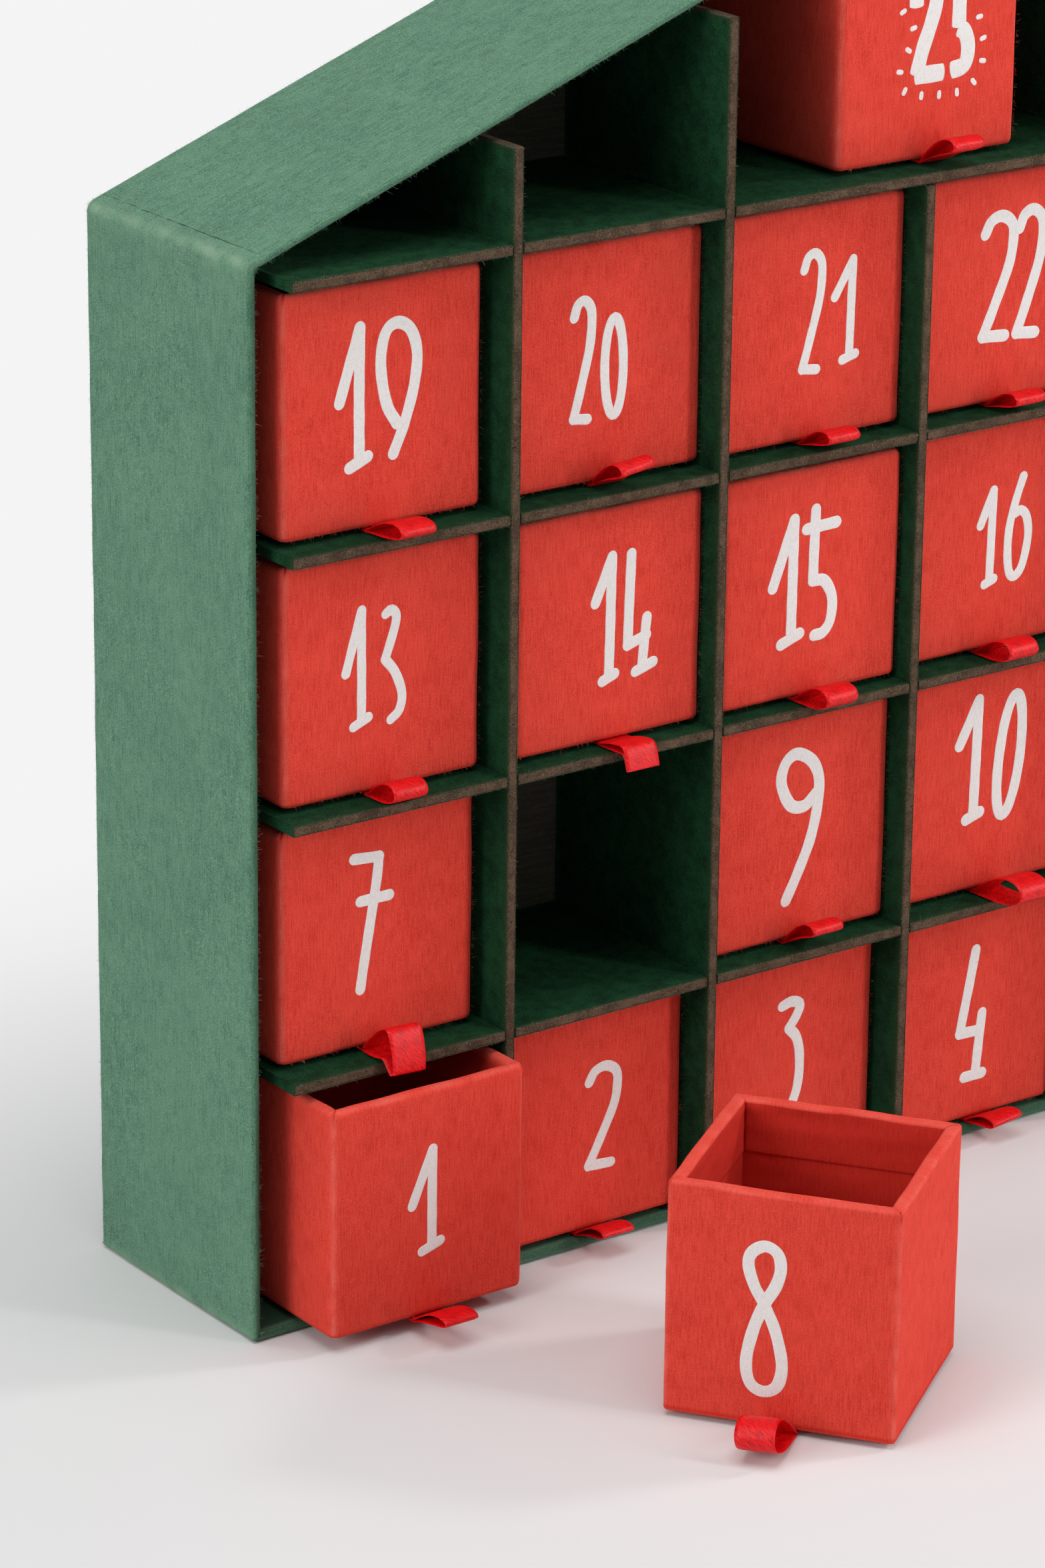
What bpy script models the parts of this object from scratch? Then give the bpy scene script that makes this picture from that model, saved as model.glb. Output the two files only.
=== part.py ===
# Paper advent calendar: a house-shaped board case wrapped in green handmade paper, an
# egg-crate of slotted boards inside it, and 25 open-topped red paper drawers, each pulled
# by a satin ribbon loop. Metres, +Z up, +X to the viewer's right, the front faces -Y.
# The origin is the centre of the case's bottom face.
import math

import bmesh
import bpy

# Drawer: a near cube of board, open at the top.
drawer_width = 0.0555
drawer_depth = 0.055
drawer_height = 0.058
drawer_wall = 0.0034
drawer_edge_radius = 0.001

# Case: five wrapped boards in one house-shaped ring, and a back panel set in from the rear rim.
case_board = 0.0026
drawer_setback = 0.0017  # from the case's front to the front of a shut drawer
eave_above_attic = 0.0038  # the outer eave's height over the attic floor
back_inset = 0.0084  # from the rear rim to the back panel's outer face
wrap_radius = 0.0009  # the paper rounds every outer edge of the boards
weld_overlap = 0.0006  # how far the back panel reaches into the ring that it is glued to

# Crate: dividers and shelves that slot into each other half way.
column_count = 6
row_count = 4
crate_board = 0.0025
column_play = 0.003  # a compartment's width over the drawer's
end_column_play = 0.0099  # and that of the two end columns
row_headroom = 0.0037  # a compartment's height over the drawer's
crate_forward = 0.007  # how far the crate stands out of the case's front
shelf_end_gap = 0.005  # from a shelf's end to the side wall
roof_gap = 0.0036  # from a tall divider's nearest top corner to the roof's underside
slot_clearance = 0.00035  # each side of a board in its slot
touch_gap = 0.0003  # between pieces that rest on or stop against each other
weld_share = 0.01  # of that gap: points closer than this are one point

# Ribbon pull: a strip glued under the drawer's front edge as a doubled tail, with a loop out front.
ribbon_width = 0.0095
ribbon_thickness = 0.00035
ribbon_tail = 0.012
loop_points = 14
teardrop_share = 0.65  # makes the widest part of the teardrop as deep as the opening
# How far a loop reaches out of its drawer, or past the shelf's front edge where it hangs over it, how
# deep it opens, how far its nose rises above the tail, and how far it drops again past that edge.
loop_styles = {
    "plump": {"reach": 0.013, "opening": 0.0046, "rise": 0.0031, "drop": 0},
    "long": {"reach": 0.0148, "opening": 0.004, "rise": 0.0027, "drop": 0},
    "short": {"reach": 0.011, "opening": 0.0042, "rise": 0.0029, "drop": 0},
    "wide": {"reach": 0.0185, "opening": 0.0062, "rise": 0.0043, "drop": 0},
    "lifted": {"reach": 0.0112, "opening": 0.003, "rise": 0.0036, "drop": 0},
    "steep": {"reach": 0.0118, "opening": 0.003, "rise": 0.0063, "drop": 0},
    "slim": {"reach": 0.0133, "opening": 0.0034, "rise": 0.0039, "drop": 0},
    "drooping": {"past_shelf": 0.0024, "opening": 0.0015, "rise": 0.0011, "drop": 0.0048},
    "hanging": {"past_shelf": 0.0038, "opening": 0.0066, "rise": 0.0046, "drop": 0.0068},
    "raised": {"reach": 0.0124, "opening": 0.0032, "rise": 0.006, "drop": 0},
    "resting": {"reach": 0.019, "opening": 0.0083, "rise": 0.0058, "drop": 0},
}
loop_style_of = {1: "slim", 2: "lifted", 3: "lifted", 4: "short", 5: "slim", 6: "short", 7: "hanging",
                 8: "resting", 9: "steep", 10: "wide", 11: "lifted", 12: "plump", 13: "short",
                 14: "drooping", 15: "plump", 16: "plump", 17: "long", 18: "short", 19: "long",
                 20: "steep", 21: "lifted", 22: "lifted", 23: "plump", 24: "long", 25: "raised"}
# How far right of its drawer's middle a pull is glued, as a share of the drawer's width.
pull_shift_shares = {4: 0.07, 10: 0.035, 14: 0.04, 21: 0.018, 25: 0.045}

# Where each drawer stands in its compartment: how far it is out, as a share of its depth, and
# where it lies in its side play, from 0 at the left to 1 at the right.
pulled_out_shares = {1: 0.325, 9: 0.038, 10: 0.025, 12: 0.015, 13: 0.025, 14: 0.062, 15: 0.071,
                     16: 0.02, 18: 0.04, 19: 0.027, 20: 0.022, 21: 0.033, 22: 0.03, 23: 0.02,
                     25: 0.005}
side_play_shares = {1: 0.95, 2: 0.85, 3: 0.6, 6: 0.3, 7: 0.68, 9: 0.95, 12: 0.4, 13: 0.72, 14: 0.97,
                    15: 0.85, 18: 0.35, 19: 0.68, 20: 0.97, 21: 0.97, 24: 0.45}
usual_play_share = 0.5

# Drawer 25 stands free on the attic floor, and drawer 8 stands out on the table, turned.
gable_drawer = 25
gable_offset = 0.005  # right of the middle
gable_headroom = 0.00036  # from its upper right edge up to the roof's underside
loose_drawer = 8
loose_turn = math.radians(-54.3)
loose_forward = 0.0848  # its front left corner, ahead of the case's front
loose_left = 0.1343  # and left of the middle

# Worked out from the values above.
column_clear = drawer_width + column_play
end_column_clear = drawer_width + end_column_play
row_clear = drawer_height + row_headroom
column_pitch = column_clear + crate_board
row_pitch = row_clear + crate_board
case_depth = drawer_setback + drawer_depth + touch_gap + case_board + back_inset
attic_floor = case_board + row_count * row_pitch
eave_height = attic_floor + eave_above_attic
case_width = (2 * (case_board + end_column_clear) + (column_count - 1) * crate_board
              + (column_count - 2) * column_clear)
case_front = -case_depth / 2
shelf_ledge = drawer_setback + crate_forward  # how far a shelf reaches out under a shut drawer
drawer_lift = 2 * touch_gap + 2 * ribbon_thickness  # the ribbon's tail lies under the drawer
# The roof's slope: its underside passes over the upper right edge of the drawer in the gable. With
# run and rise from the eave's top outer edge to that point, slope * run less board / cos is the rise.
gable_run = case_width / 2 - gable_offset - drawer_width / 2
gable_rise = attic_floor + drawer_lift + drawer_height + gable_headroom - eave_height
rise_per_run = ((gable_run * gable_rise + case_board * math.sqrt(
    gable_run ** 2 + gable_rise ** 2 - case_board ** 2)) / (gable_run ** 2 - case_board ** 2))
roof_pitch = math.atan(rise_per_run)
ridge_rise = rise_per_run * case_width / 2
back_face = case_front + case_depth - back_inset - case_board
crate_front = case_front - crate_forward
crate_back = back_face - touch_gap
crate_middle = (crate_front + crate_back) / 2
first_divider = -case_width / 2 + case_board + end_column_clear + crate_board / 2
shelf_half = case_width / 2 - case_board - shelf_end_gap
home_front = back_face - touch_gap - drawer_depth

for old in list(bpy.data.objects):
    bpy.data.objects.remove(old, do_unlink=True)

calendar = bpy.data.collections.new("paper_advent_calendar")
helpers = bpy.data.collections.new("helpers")
bpy.context.scene.collection.children.link(calendar)
bpy.context.scene.collection.children.link(helpers)


def paper_material(name, colour, roughness):
    made = bpy.data.materials.new(name)
    made.use_nodes = True
    shader = made.node_tree.nodes["Principled BSDF"]
    shader.inputs["Base Color"].default_value = (*colour, 1)
    shader.inputs["Roughness"].default_value = roughness
    shader.inputs["Metallic"].default_value = 0
    return made


green_paper = paper_material("green_paper", (0.089, 0.223, 0.138), 0.92)
crate_card = paper_material("crate_card", (0.012, 0.05, 0.031), 0.9)
red_paper = paper_material("red_paper", (0.56, 0.042, 0.026), 0.88)
satin = paper_material("red_satin_ribbon", (0.6, 0.004, 0.006), 0.35)


def add_object(name, mesh, material, collection=calendar):
    made = bpy.data.objects.new(name, mesh)
    if material and not mesh.materials:
        mesh.materials.append(material)
    collection.objects.link(made)
    return made


def evaluated_mesh(source, name):
    """The mesh that an object shows with its modifiers on, with loose caps welded; the object goes."""
    bpy.context.view_layer.update()
    mesh = bpy.data.meshes.new_from_object(source.evaluated_get(bpy.context.evaluated_depsgraph_get()))
    mesh.name = name
    shape = bmesh.new()
    shape.from_mesh(mesh)
    bmesh.ops.remove_doubles(shape, verts=shape.verts, dist=weld_share * touch_gap)
    bmesh.ops.recalc_face_normals(shape, faces=shape.faces)
    shape.to_mesh(mesh)
    shape.free()
    bpy.data.objects.remove(source, do_unlink=True)
    return mesh


def flat_board(name, outlines, thickness):
    """A flat outline, with any holes in it, given its thickness both ways from its own XY plane."""
    curve = bpy.data.curves.new(name, "CURVE")
    curve.dimensions = "2D"
    curve.fill_mode = "BOTH"
    curve.extrude = thickness / 2
    for outline in outlines:
        spline = curve.splines.new("POLY")
        spline.points.add(len(outline) - 1)
        for point, (x, y) in zip(spline.points, outline):
            point.co = (x, y, 0, 1)
        spline.use_cyclic_u = True
    drawn = bpy.data.objects.new(name, curve)
    helpers.objects.link(drawn)
    return evaluated_mesh(drawn, name)


def bevelled(mesh, width, name):
    drawn = bpy.data.objects.new(name, mesh)
    helpers.objects.link(drawn)
    bevel = drawn.modifiers.new("rounded", "BEVEL")
    bevel.width = width
    bevel.segments = 2
    bevel.limit_method = "ANGLE"
    return evaluated_mesh(drawn, name)


def house_outline(inset):
    """The house's outline seen from the front, moved in from the outer faces by an inset."""
    side = case_width / 2 - inset
    roof_drop = inset / math.cos(roof_pitch)
    eave = eave_height - roof_drop + rise_per_run * inset
    ridge = eave_height - roof_drop + ridge_rise
    return [(-side, inset), (side, inset), (side, eave), (0, ridge), (-side, eave)]


def make_case():
    ring = flat_board("case_ring", [house_outline(0), house_outline(case_board)], case_depth)
    case = add_object("case", bevelled(ring, wrap_radius, "case"), green_paper)
    case.rotation_euler = (math.pi / 2, 0, 0)
    panel_mesh = flat_board("back_panel", [house_outline(case_board - weld_overlap)], case_board)
    panel = add_object("back_panel", panel_mesh, green_paper, helpers)
    panel.rotation_euler = (math.pi / 2, 0, 0)
    panel.location = (0, back_face + case_board / 2, 0)
    panel.hide_render = True
    panel.display_type = "WIRE"
    glued = case.modifiers.new("glued_back_panel", "BOOLEAN")
    glued.operation = "UNION"
    glued.solver = "EXACT"
    glued.object = panel


def floor_of_row(row):
    """Top face of the board that a row's drawers stand on: the case's floor, then each shelf."""
    return case_board + row * row_pitch


def divider_top(number):
    """Tall dividers end under the roof; the middle one ends under the attic floor."""
    from_middle = abs(divider_centre(number))
    if from_middle < column_clear / 2:
        return floor_of_row(row_count) - crate_board - touch_gap
    outer_face = from_middle + crate_board / 2
    eave_underside = house_outline(case_board)[2][1]
    return eave_underside + rise_per_run * (case_width / 2 - case_board - outer_face) - roof_gap


def divider_centre(number):
    return first_divider + (number - 1) * column_pitch


def notched_edge(length_from, length_to, notches, edge, depth):
    """Points along one straight edge, with square notches of half width and depth cut from it."""
    points = [(length_from, edge)]
    for middle, half in notches:
        left, right = middle - half, middle + half
        points += [(left, edge), (left, depth), (right, depth), (right, edge)]
    return points + [(length_to, edge)]


def make_divider(number):
    """Its slots open at the back, so it shows whole at the front."""
    half_slot = crate_board / 2 + slot_clearance
    top = divider_top(number)
    shelves = [floor_of_row(row) - crate_board / 2 for row in range(1, row_count + 1)]
    slots = [(height, half_slot) for height in shelves if height < top]
    back = notched_edge(case_board + touch_gap, top, slots, crate_back, crate_middle - touch_gap / 2)
    outline = [(crate_front, top), (crate_front, case_board + touch_gap)] + [(y, z) for z, y in back]
    divider = add_object("divider_%d" % number, flat_board("divider", [outline], crate_board), crate_card)
    divider.rotation_euler = (math.pi / 2, 0, math.pi / 2)
    divider.location = (divider_centre(number), 0, 0)


def make_shelf(row):
    """Its slots open at the front, where the dividers pass through it."""
    half_slot = crate_board / 2 + slot_clearance
    height = floor_of_row(row) - crate_board / 2
    crossed = [divider_centre(n) for n in range(1, column_count) if divider_top(n) > height]
    slots = [(x, half_slot) for x in crossed]
    front = notched_edge(-shelf_half, shelf_half, slots, crate_front, crate_middle + touch_gap / 2)
    outline = front + [(shelf_half, crate_back), (-shelf_half, crate_back)]
    name = "attic_shelf" if row == row_count else "shelf_%d" % row
    shelf = add_object(name, flat_board("shelf", [outline], crate_board), crate_card)
    shelf.location = (0, 0, height)


def drawer_mesh():
    """An open-topped box with its front bottom edge on the origin's X line, running back to +Y."""
    bpy.ops.mesh.primitive_cube_add(size=1)
    box = bpy.context.object
    box.name = "drawer_shape"
    box.scale = (drawer_width, drawer_depth, drawer_height)
    box.location = (0, drawer_depth / 2, drawer_height / 2)
    bpy.ops.object.transform_apply(location=True, rotation=False, scale=True)
    shape = bmesh.new()
    shape.from_mesh(box.data)
    lid = [face for face in shape.faces if face.normal.z > 0.5]
    bmesh.ops.delete(shape, geom=lid, context="FACES_ONLY")
    shape.to_mesh(box.data)
    shape.free()
    wall = box.modifiers.new("wall", "SOLIDIFY")
    wall.thickness = drawer_wall
    wall.offset = -1
    wall.use_even_offset = True
    folds = box.modifiers.new("folded_edges", "BEVEL")
    folds.width = drawer_edge_radius
    folds.segments = 2
    folds.limit_method = "ANGLE"
    return evaluated_mesh(box, "drawer")


def loop_mesh(style):
    """A doubled tail under the drawer that parts into a teardrop loop, drawn from the side. What drops
    does so past the shelf's front edge as it lies with the drawer shut, so it never meets the shelf."""
    reach = style["reach"] if "reach" in style else shelf_ledge + style["past_shelf"]
    inner = []
    for step in range(1, loop_points):
        turn = 2 * math.pi * step / loop_points
        out = (1 - math.cos(turn)) / 2
        across = style["opening"] * teardrop_share * math.sin(turn) * math.sin(turn / 2)
        past = max(0, (reach * out - shelf_ledge) / (reach - shelf_ledge))
        height = style["rise"] * (1 - (1 - out) ** 2) - style["drop"] * past ** 2
        inner.append((-reach * out, height + across))
    ring = [(0, 0)] + inner
    outer = []
    for index, (y, z) in enumerate(inner, 1):
        before = ring[index - 1]
        after = ring[(index + 1) % len(ring)]
        run_y, run_z = after[0] - before[0], after[1] - before[1]
        length = math.hypot(run_y, run_z)
        outer.append((y + ribbon_thickness * run_z / length, z - ribbon_thickness * run_y / length))
    tail_top = [(ribbon_tail, ribbon_thickness), (0, ribbon_thickness)]
    tail_bottom = [(0, -ribbon_thickness), (ribbon_tail, -ribbon_thickness)]
    return flat_board("ribbon_loop", [tail_top + outer + tail_bottom, ring], ribbon_width)


def compartment(number):
    """Left and right faces of the clear space that a numbered drawer slides in."""
    column = (number - 1) % column_count
    left = divider_centre(column) + crate_board / 2 if column else -case_width / 2 + case_board
    right = (divider_centre(column + 1) - crate_board / 2 if column < column_count - 1
             else case_width / 2 - case_board)
    return left, right


def pulled_out(number):
    return pulled_out_shares.get(number, 0) * drawer_depth


def drawer_place(number):
    """World place of the middle of a drawer's front bottom edge, and its turn about Z."""
    if number == loose_drawer:
        middle_x = -loose_left + math.cos(loose_turn) * drawer_width / 2
        middle_y = case_front - loose_forward + math.sin(loose_turn) * drawer_width / 2
        return (middle_x, middle_y, drawer_lift), loose_turn
    front = home_front - pulled_out(number)
    if number == gable_drawer:
        return (gable_offset, front, floor_of_row(row_count) + drawer_lift), 0
    left, right = compartment(number)
    play = right - left - drawer_width - 2 * touch_gap
    share = side_play_shares.get(number, usual_play_share)
    middle = left + touch_gap + drawer_width / 2 + share * play
    return (middle, front, floor_of_row((number - 1) // column_count) + drawer_lift), 0


def make_drawers():
    box = drawer_mesh()
    for number in range(1, row_count * column_count + 2):
        place, turn = drawer_place(number)
        drawer = add_object("drawer_%02d" % number, box, red_paper)
        drawer.location = place
        drawer.rotation_euler = (0, 0, turn)
        loop = loop_mesh(loop_styles[loop_style_of[number]])
        pull = add_object("ribbon_pull_%02d" % number, loop, satin)
        pull.parent = drawer
        pull.rotation_euler = (math.pi / 2, 0, math.pi / 2)
        shift = pull_shift_shares.get(number, 0) * drawer_width
        pull.location = (shift, 0, -touch_gap - ribbon_thickness)


make_case()
for divider_number in range(1, column_count):
    make_divider(divider_number)
for shelf_row in range(1, row_count + 1):
    make_shelf(shelf_row)
make_drawers()
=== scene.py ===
import math

import bpy
import numpy as np
from mathutils import Matrix, Vector


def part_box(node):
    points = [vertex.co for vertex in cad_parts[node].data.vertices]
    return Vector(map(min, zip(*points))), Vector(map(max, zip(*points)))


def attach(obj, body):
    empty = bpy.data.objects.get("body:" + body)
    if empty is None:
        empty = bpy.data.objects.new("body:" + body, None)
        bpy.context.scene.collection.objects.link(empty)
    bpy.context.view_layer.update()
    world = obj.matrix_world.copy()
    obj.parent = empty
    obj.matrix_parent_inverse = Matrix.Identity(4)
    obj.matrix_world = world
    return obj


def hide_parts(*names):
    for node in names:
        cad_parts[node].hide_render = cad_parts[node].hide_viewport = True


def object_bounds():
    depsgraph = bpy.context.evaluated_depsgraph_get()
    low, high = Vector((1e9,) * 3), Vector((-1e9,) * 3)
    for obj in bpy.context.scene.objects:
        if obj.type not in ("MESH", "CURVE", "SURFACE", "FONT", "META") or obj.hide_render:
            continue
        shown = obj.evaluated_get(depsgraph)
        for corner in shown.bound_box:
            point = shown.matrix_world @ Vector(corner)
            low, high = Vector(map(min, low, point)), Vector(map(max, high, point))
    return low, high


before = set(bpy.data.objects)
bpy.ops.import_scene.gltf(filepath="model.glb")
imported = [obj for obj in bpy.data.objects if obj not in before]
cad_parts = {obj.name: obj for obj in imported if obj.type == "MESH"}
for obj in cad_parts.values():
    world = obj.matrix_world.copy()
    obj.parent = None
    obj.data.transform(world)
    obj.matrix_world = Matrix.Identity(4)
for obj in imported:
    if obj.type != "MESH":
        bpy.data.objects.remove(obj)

# A house-shaped calendar of paper-wrapped board: a green case, a crate of slotted boards, and 25
# red drawers with white numbers and ribbon pulls. Metres; the front faces -Y, +X is the viewer's
# right.

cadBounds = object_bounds()
mm = 0.001

# Camera and stage

view = {
    "position": (-0.8640, -1.0611, 0.5854),
    "target": (-0.1142, -0.0340, 0.1255),
    "roll": 0.65,                    # degrees, clockwise as seen in the picture
    "focalPixels": 8572.9,
    "framePixels": (1568, 2352),
    "sensor": 36,
}
# each lamp: degrees to the right of the front, degrees up, metres away, (width, height) in metres,
# and watts
lampLook = {
    "key": (67, 28, 1.6, (0.22, 0.22), 6.2),
    "front": (30, 17, 1.0, (0.12, 0.85), 3.7),
    "side": (-82, 20, 1.6, (0.8, 0.8), 10.4),
    "top": (-60, 78, 1.6, (1.4, 1.4), 13.4),
}
stageLook = {
    "aim": (-0.08, 0, 0.14),
    "worldColour": (0.97, 0.985, 1), "worldStrength": 0.31,
    "floorColour": (0.71, 0.705, 0.705), "backgroundColour": (0.907, 0.907, 0.907),
    "fadeBehind": (-0.02, 0.30), "fadeRound": (0.34, 0.9), "floorSize": 6.0,
}


def makeCamera(setup):
    # Looks from position to target, turned by roll about that line. The lens's length is the focal
    # length in pixels over the frame's longer side, times the sensor.
    position, target = Vector(setup["position"]), Vector(setup["target"])
    forward = (target - position).normalized()
    right = forward.cross(Vector((0, 0, 1))).normalized()
    roll = math.radians(setup["roll"])
    right = math.cos(roll) * right + math.sin(roll) * right.cross(forward)
    up = right.cross(forward)
    lens = bpy.data.cameras.new("camera")
    lens.sensor_width = setup["sensor"]              # the frame's long side
    lens.lens = setup["focalPixels"] / max(setup["framePixels"]) * setup["sensor"]
    lens.clip_start, lens.clip_end = 0.01, 50
    camera = bpy.data.objects.new("camera", lens)
    bpy.context.scene.collection.objects.link(camera)
    axes = zip(right, up, -forward, position)
    camera.matrix_world = Matrix([list(row) for row in axes] + [[0, 0, 0, 1]])
    bpy.context.scene.camera = camera


def addLamp(name, rightward, upward, distance, size, watts, aim):
    # An elliptical lamp at aim + distance * (sin across * cos up, -cos across * cos up, sin up),
    # facing aim.
    across, up = math.radians(rightward), math.radians(upward)
    away = Vector((math.sin(across) * math.cos(up), -math.cos(across) * math.cos(up), math.sin(up)))
    lamp = bpy.data.lights.new(name, "AREA")
    lamp.shape, lamp.energy = "ELLIPSE", watts
    lamp.size, lamp.size_y = size
    holder = bpy.data.objects.new(name, lamp)
    bpy.context.scene.collection.objects.link(holder)
    holder.location = Vector(aim) + away * distance
    holder.rotation_euler = away.to_track_quat("Z", "Y").to_euler()


makeCamera(view)
for lampName, lampSetup in lampLook.items():
    addLamp(lampName, *lampSetup, stageLook["aim"])
bpy.context.scene.view_settings.view_transform = "Standard"
print("camera and lamps")

# Shader maths: a socket with arithmetic, and a material that adds nodes


class Value:
    # One output socket. Arithmetic on it adds Math nodes to its material.

    def __init__(self, owner, socket):
        self.owner, self.socket = owner, socket

    def maths(self, operation, *others):
        return self.owner.maths(operation, self, *others)

    def __add__(self, other):
        return self.maths("ADD", other)

    def __radd__(self, other):
        return self.maths("ADD", other)

    def __sub__(self, other):
        return self.maths("SUBTRACT", other)

    def __rsub__(self, other):
        return self.owner.maths("SUBTRACT", other, self)

    def __mul__(self, other):
        return self.maths("MULTIPLY", other)

    def __rmul__(self, other):
        return self.maths("MULTIPLY", other)


class Finish:
    # A material, or the world, under construction on a cleared node tree.

    def __init__(self, name, holder=None):
        self.material = holder or bpy.data.materials.new(name)
        self.material.use_nodes = True
        self.tree = self.material.node_tree
        self.tree.nodes.clear()
        self.places = self.node("TexCoord", out="Object")

    def node(self, kind, settings=None, inputs=None, out=0):
        made = self.tree.nodes.new("ShaderNode" + kind)
        for key, value in (settings or {}).items():
            setattr(made, key, value)
        for key, value in (inputs or {}).items():
            socket = made.inputs[key]
            if isinstance(value, Value):
                self.tree.links.new(value.socket, socket)
            elif isinstance(value, tuple) and len(value) == 3 and socket.type == "RGBA":
                socket.default_value = (*value, 1)
            else:
                socket.default_value = value
        return Value(self, made.outputs[out]) if made.outputs else None

    def maths(self, operation, *terms):
        return self.node("Math", {"operation": operation}, dict(enumerate(terms)))

    def mix(self, factor, a, b):
        return self.node("Mix", {"data_type": "RGBA", "clamp_factor": True},
                         {0: factor, 6: a, 7: b}, out=2)

    def coats(self, colour, *layers):
        # Each layer's colour laid over the ones before it, by its own share.
        for share, layer in layers:
            colour = self.mix(share, colour, layer)
        return colour

    def scaled(self, sizes, turn=(0, 0, 0), source=None):
        # Coordinates turned, then divided by a size along each turned axis.
        return self.node("Mapping", {"vector_type": "TEXTURE"},
                         {"Vector": source or self.places, "Scale": sizes, "Rotation": turn})

    def noise(self, size, detail=2, roughness=0.5, source=None, stretch=(1, 1, 1),
              turn=(0, 0, 0), warp=0):
        # Noise about 0.5, with features of that size in metres, longer along the axes stretched.
        sizes = tuple(size * s for s in stretch)
        return self.node("TexNoise", None,
                         {"Vector": self.scaled(sizes, turn, source), "Scale": 1.0,
                          "Detail": detail, "Roughness": roughness, "Distortion": warp})

    def between(self, value, low, high):
        # 0 below low, 1 above high, a smooth step between.
        return self.node("MapRange", {"interpolation_type": "SMOOTHSTEP", "clamp": True},
                         {"Value": value, "From Min": low, "From Max": high})

    def attribute(self, name):
        return self.node("Attribute", {"attribute_name": name}, out="Fac")

    def axes(self):
        made = self.tree.nodes.new("ShaderNodeSeparateXYZ")
        self.tree.links.new(self.places.socket, made.inputs[0])
        return [Value(self, socket) for socket in made.outputs]

    def uv(self):
        return self.node("UVMap", {"uv_map": "flat"})

    def bump(self, height, distance):
        return self.node("Bump", None,
                         {"Height": height, "Distance": distance, "Strength": 1.0})

    def surface(self, **sockets):
        names = {"baseColour": "Base Color", "roughness": "Roughness", "normal": "Normal",
                 "sheen": "Sheen Weight", "sheenRoughness": "Sheen Roughness",
                 "specular": "Specular IOR Level"}
        shader = self.node("BsdfPrincipled", None,
                           {names[k]: v for k, v in sockets.items()})
        self.node("OutputMaterial", None, {"Surface": shader})
        return self.material


def fibreMask(finish, width, length, turns, low, high):
    # Short fibres: noise drawn out along a direction and cut to its peaks, in several directions.
    mask = None
    for turn in turns:
        streaks = finish.noise(width, 1, 0.4, stretch=(length, 1, 1), turn=turn, warp=0.35)
        one = finish.between(streaks, low, high)
        mask = one if mask is None else mask.maths("MAXIMUM", one)
    return mask


threeWays = [(0.3, 0.2, 0.5), (1.1, 0.4, 2.0), (0.2, 1.3, 3.6)]
otherWays = [(0.9, 0.1, 1.3), (0.5, 2.2, 4.4)]
# 'inside' is the painted shade colour that the attribute 'shade' lays
greenPaperLook = {
    "colour": (0.133, 0.285, 0.170), "deep": (0.040, 0.128, 0.072), "pale": (0.34, 0.50, 0.34),
    "blue": (0.088, 0.28, 0.225), "inside": (0.012, 0.062, 0.026), "fold": (0.23, 0.37, 0.25),
    "ribs": (0.00042, 20), "fleckSize": 0.00030, "cloudSize": 0.0030, "patchSize": 0.022,
    "fibreWidth": 0.00014, "fibreLength": 8, "relief": 0.00022,
}


def greenPaper(name, look):
    # Paper with flecks, ribs along the sheet, clouds and pale and dark fibres; tone is their
    # weighted sum.
    f = Finish(name)
    width, length = look["ribs"]
    ribs = f.noise(width, 2, 0.6, source=f.uv(), stretch=(length, 1, 1))
    clouds = f.noise(look["cloudSize"], 4, 0.6)
    patches = f.noise(look["patchSize"], 3, 0.55)
    flecks = f.noise(look["fleckSize"], 3, 0.65)
    hue = f.noise(look["fleckSize"] * 2.3, 3, 0.7)
    pale = fibreMask(f, look["fibreWidth"], look["fibreLength"], threeWays, 0.62, 0.72)
    dark = fibreMask(f, look["fibreWidth"], look["fibreLength"], otherWays, 0.64, 0.75)
    tone = f.between(flecks * 0.42 + clouds * 0.18 + ribs * 0.30 + patches * 0.10, 0.405, 0.565)
    # the last coat is painted shade: the dark 'inside' colour wherever the attribute 'shade' is set
    colour = f.coats(look["deep"], (tone, look["colour"]),
                     (f.between(hue, 0.42, 0.62) * 0.45, look["blue"]),
                     (f.between(flecks, 0.52, 0.68) * 0.45, look["pale"]),
                     (pale * 0.6, look["pale"]), (dark * 0.6, look["deep"]),
                     (f.attribute("worn"), look["fold"]), (f.attribute("shade"), look["inside"]))
    relief = flecks * 0.5 + pale * 0.4 + ribs * 0.5 + clouds * 0.5
    return f.surface(baseColour=colour, roughness=0.94 - pale * 0.08, specular=0.12, sheen=0.06,
                     sheenRoughness=0.6, normal=f.bump(relief, look["relief"]))


# 'inner' is the painted shade colour that the attribute 'shade' lays
redPaperLook = {
    "colour": (0.82, 0.071, 0.046), "deep": (0.58, 0.029, 0.017), "pale": (0.93, 0.22, 0.17),
    "inner": (0.50, 0.009, 0.004), "brown": (0.46, 0.06, 0.035),
    "ribs": (0.00034, 16), "relief": 0.00014,
}


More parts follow.
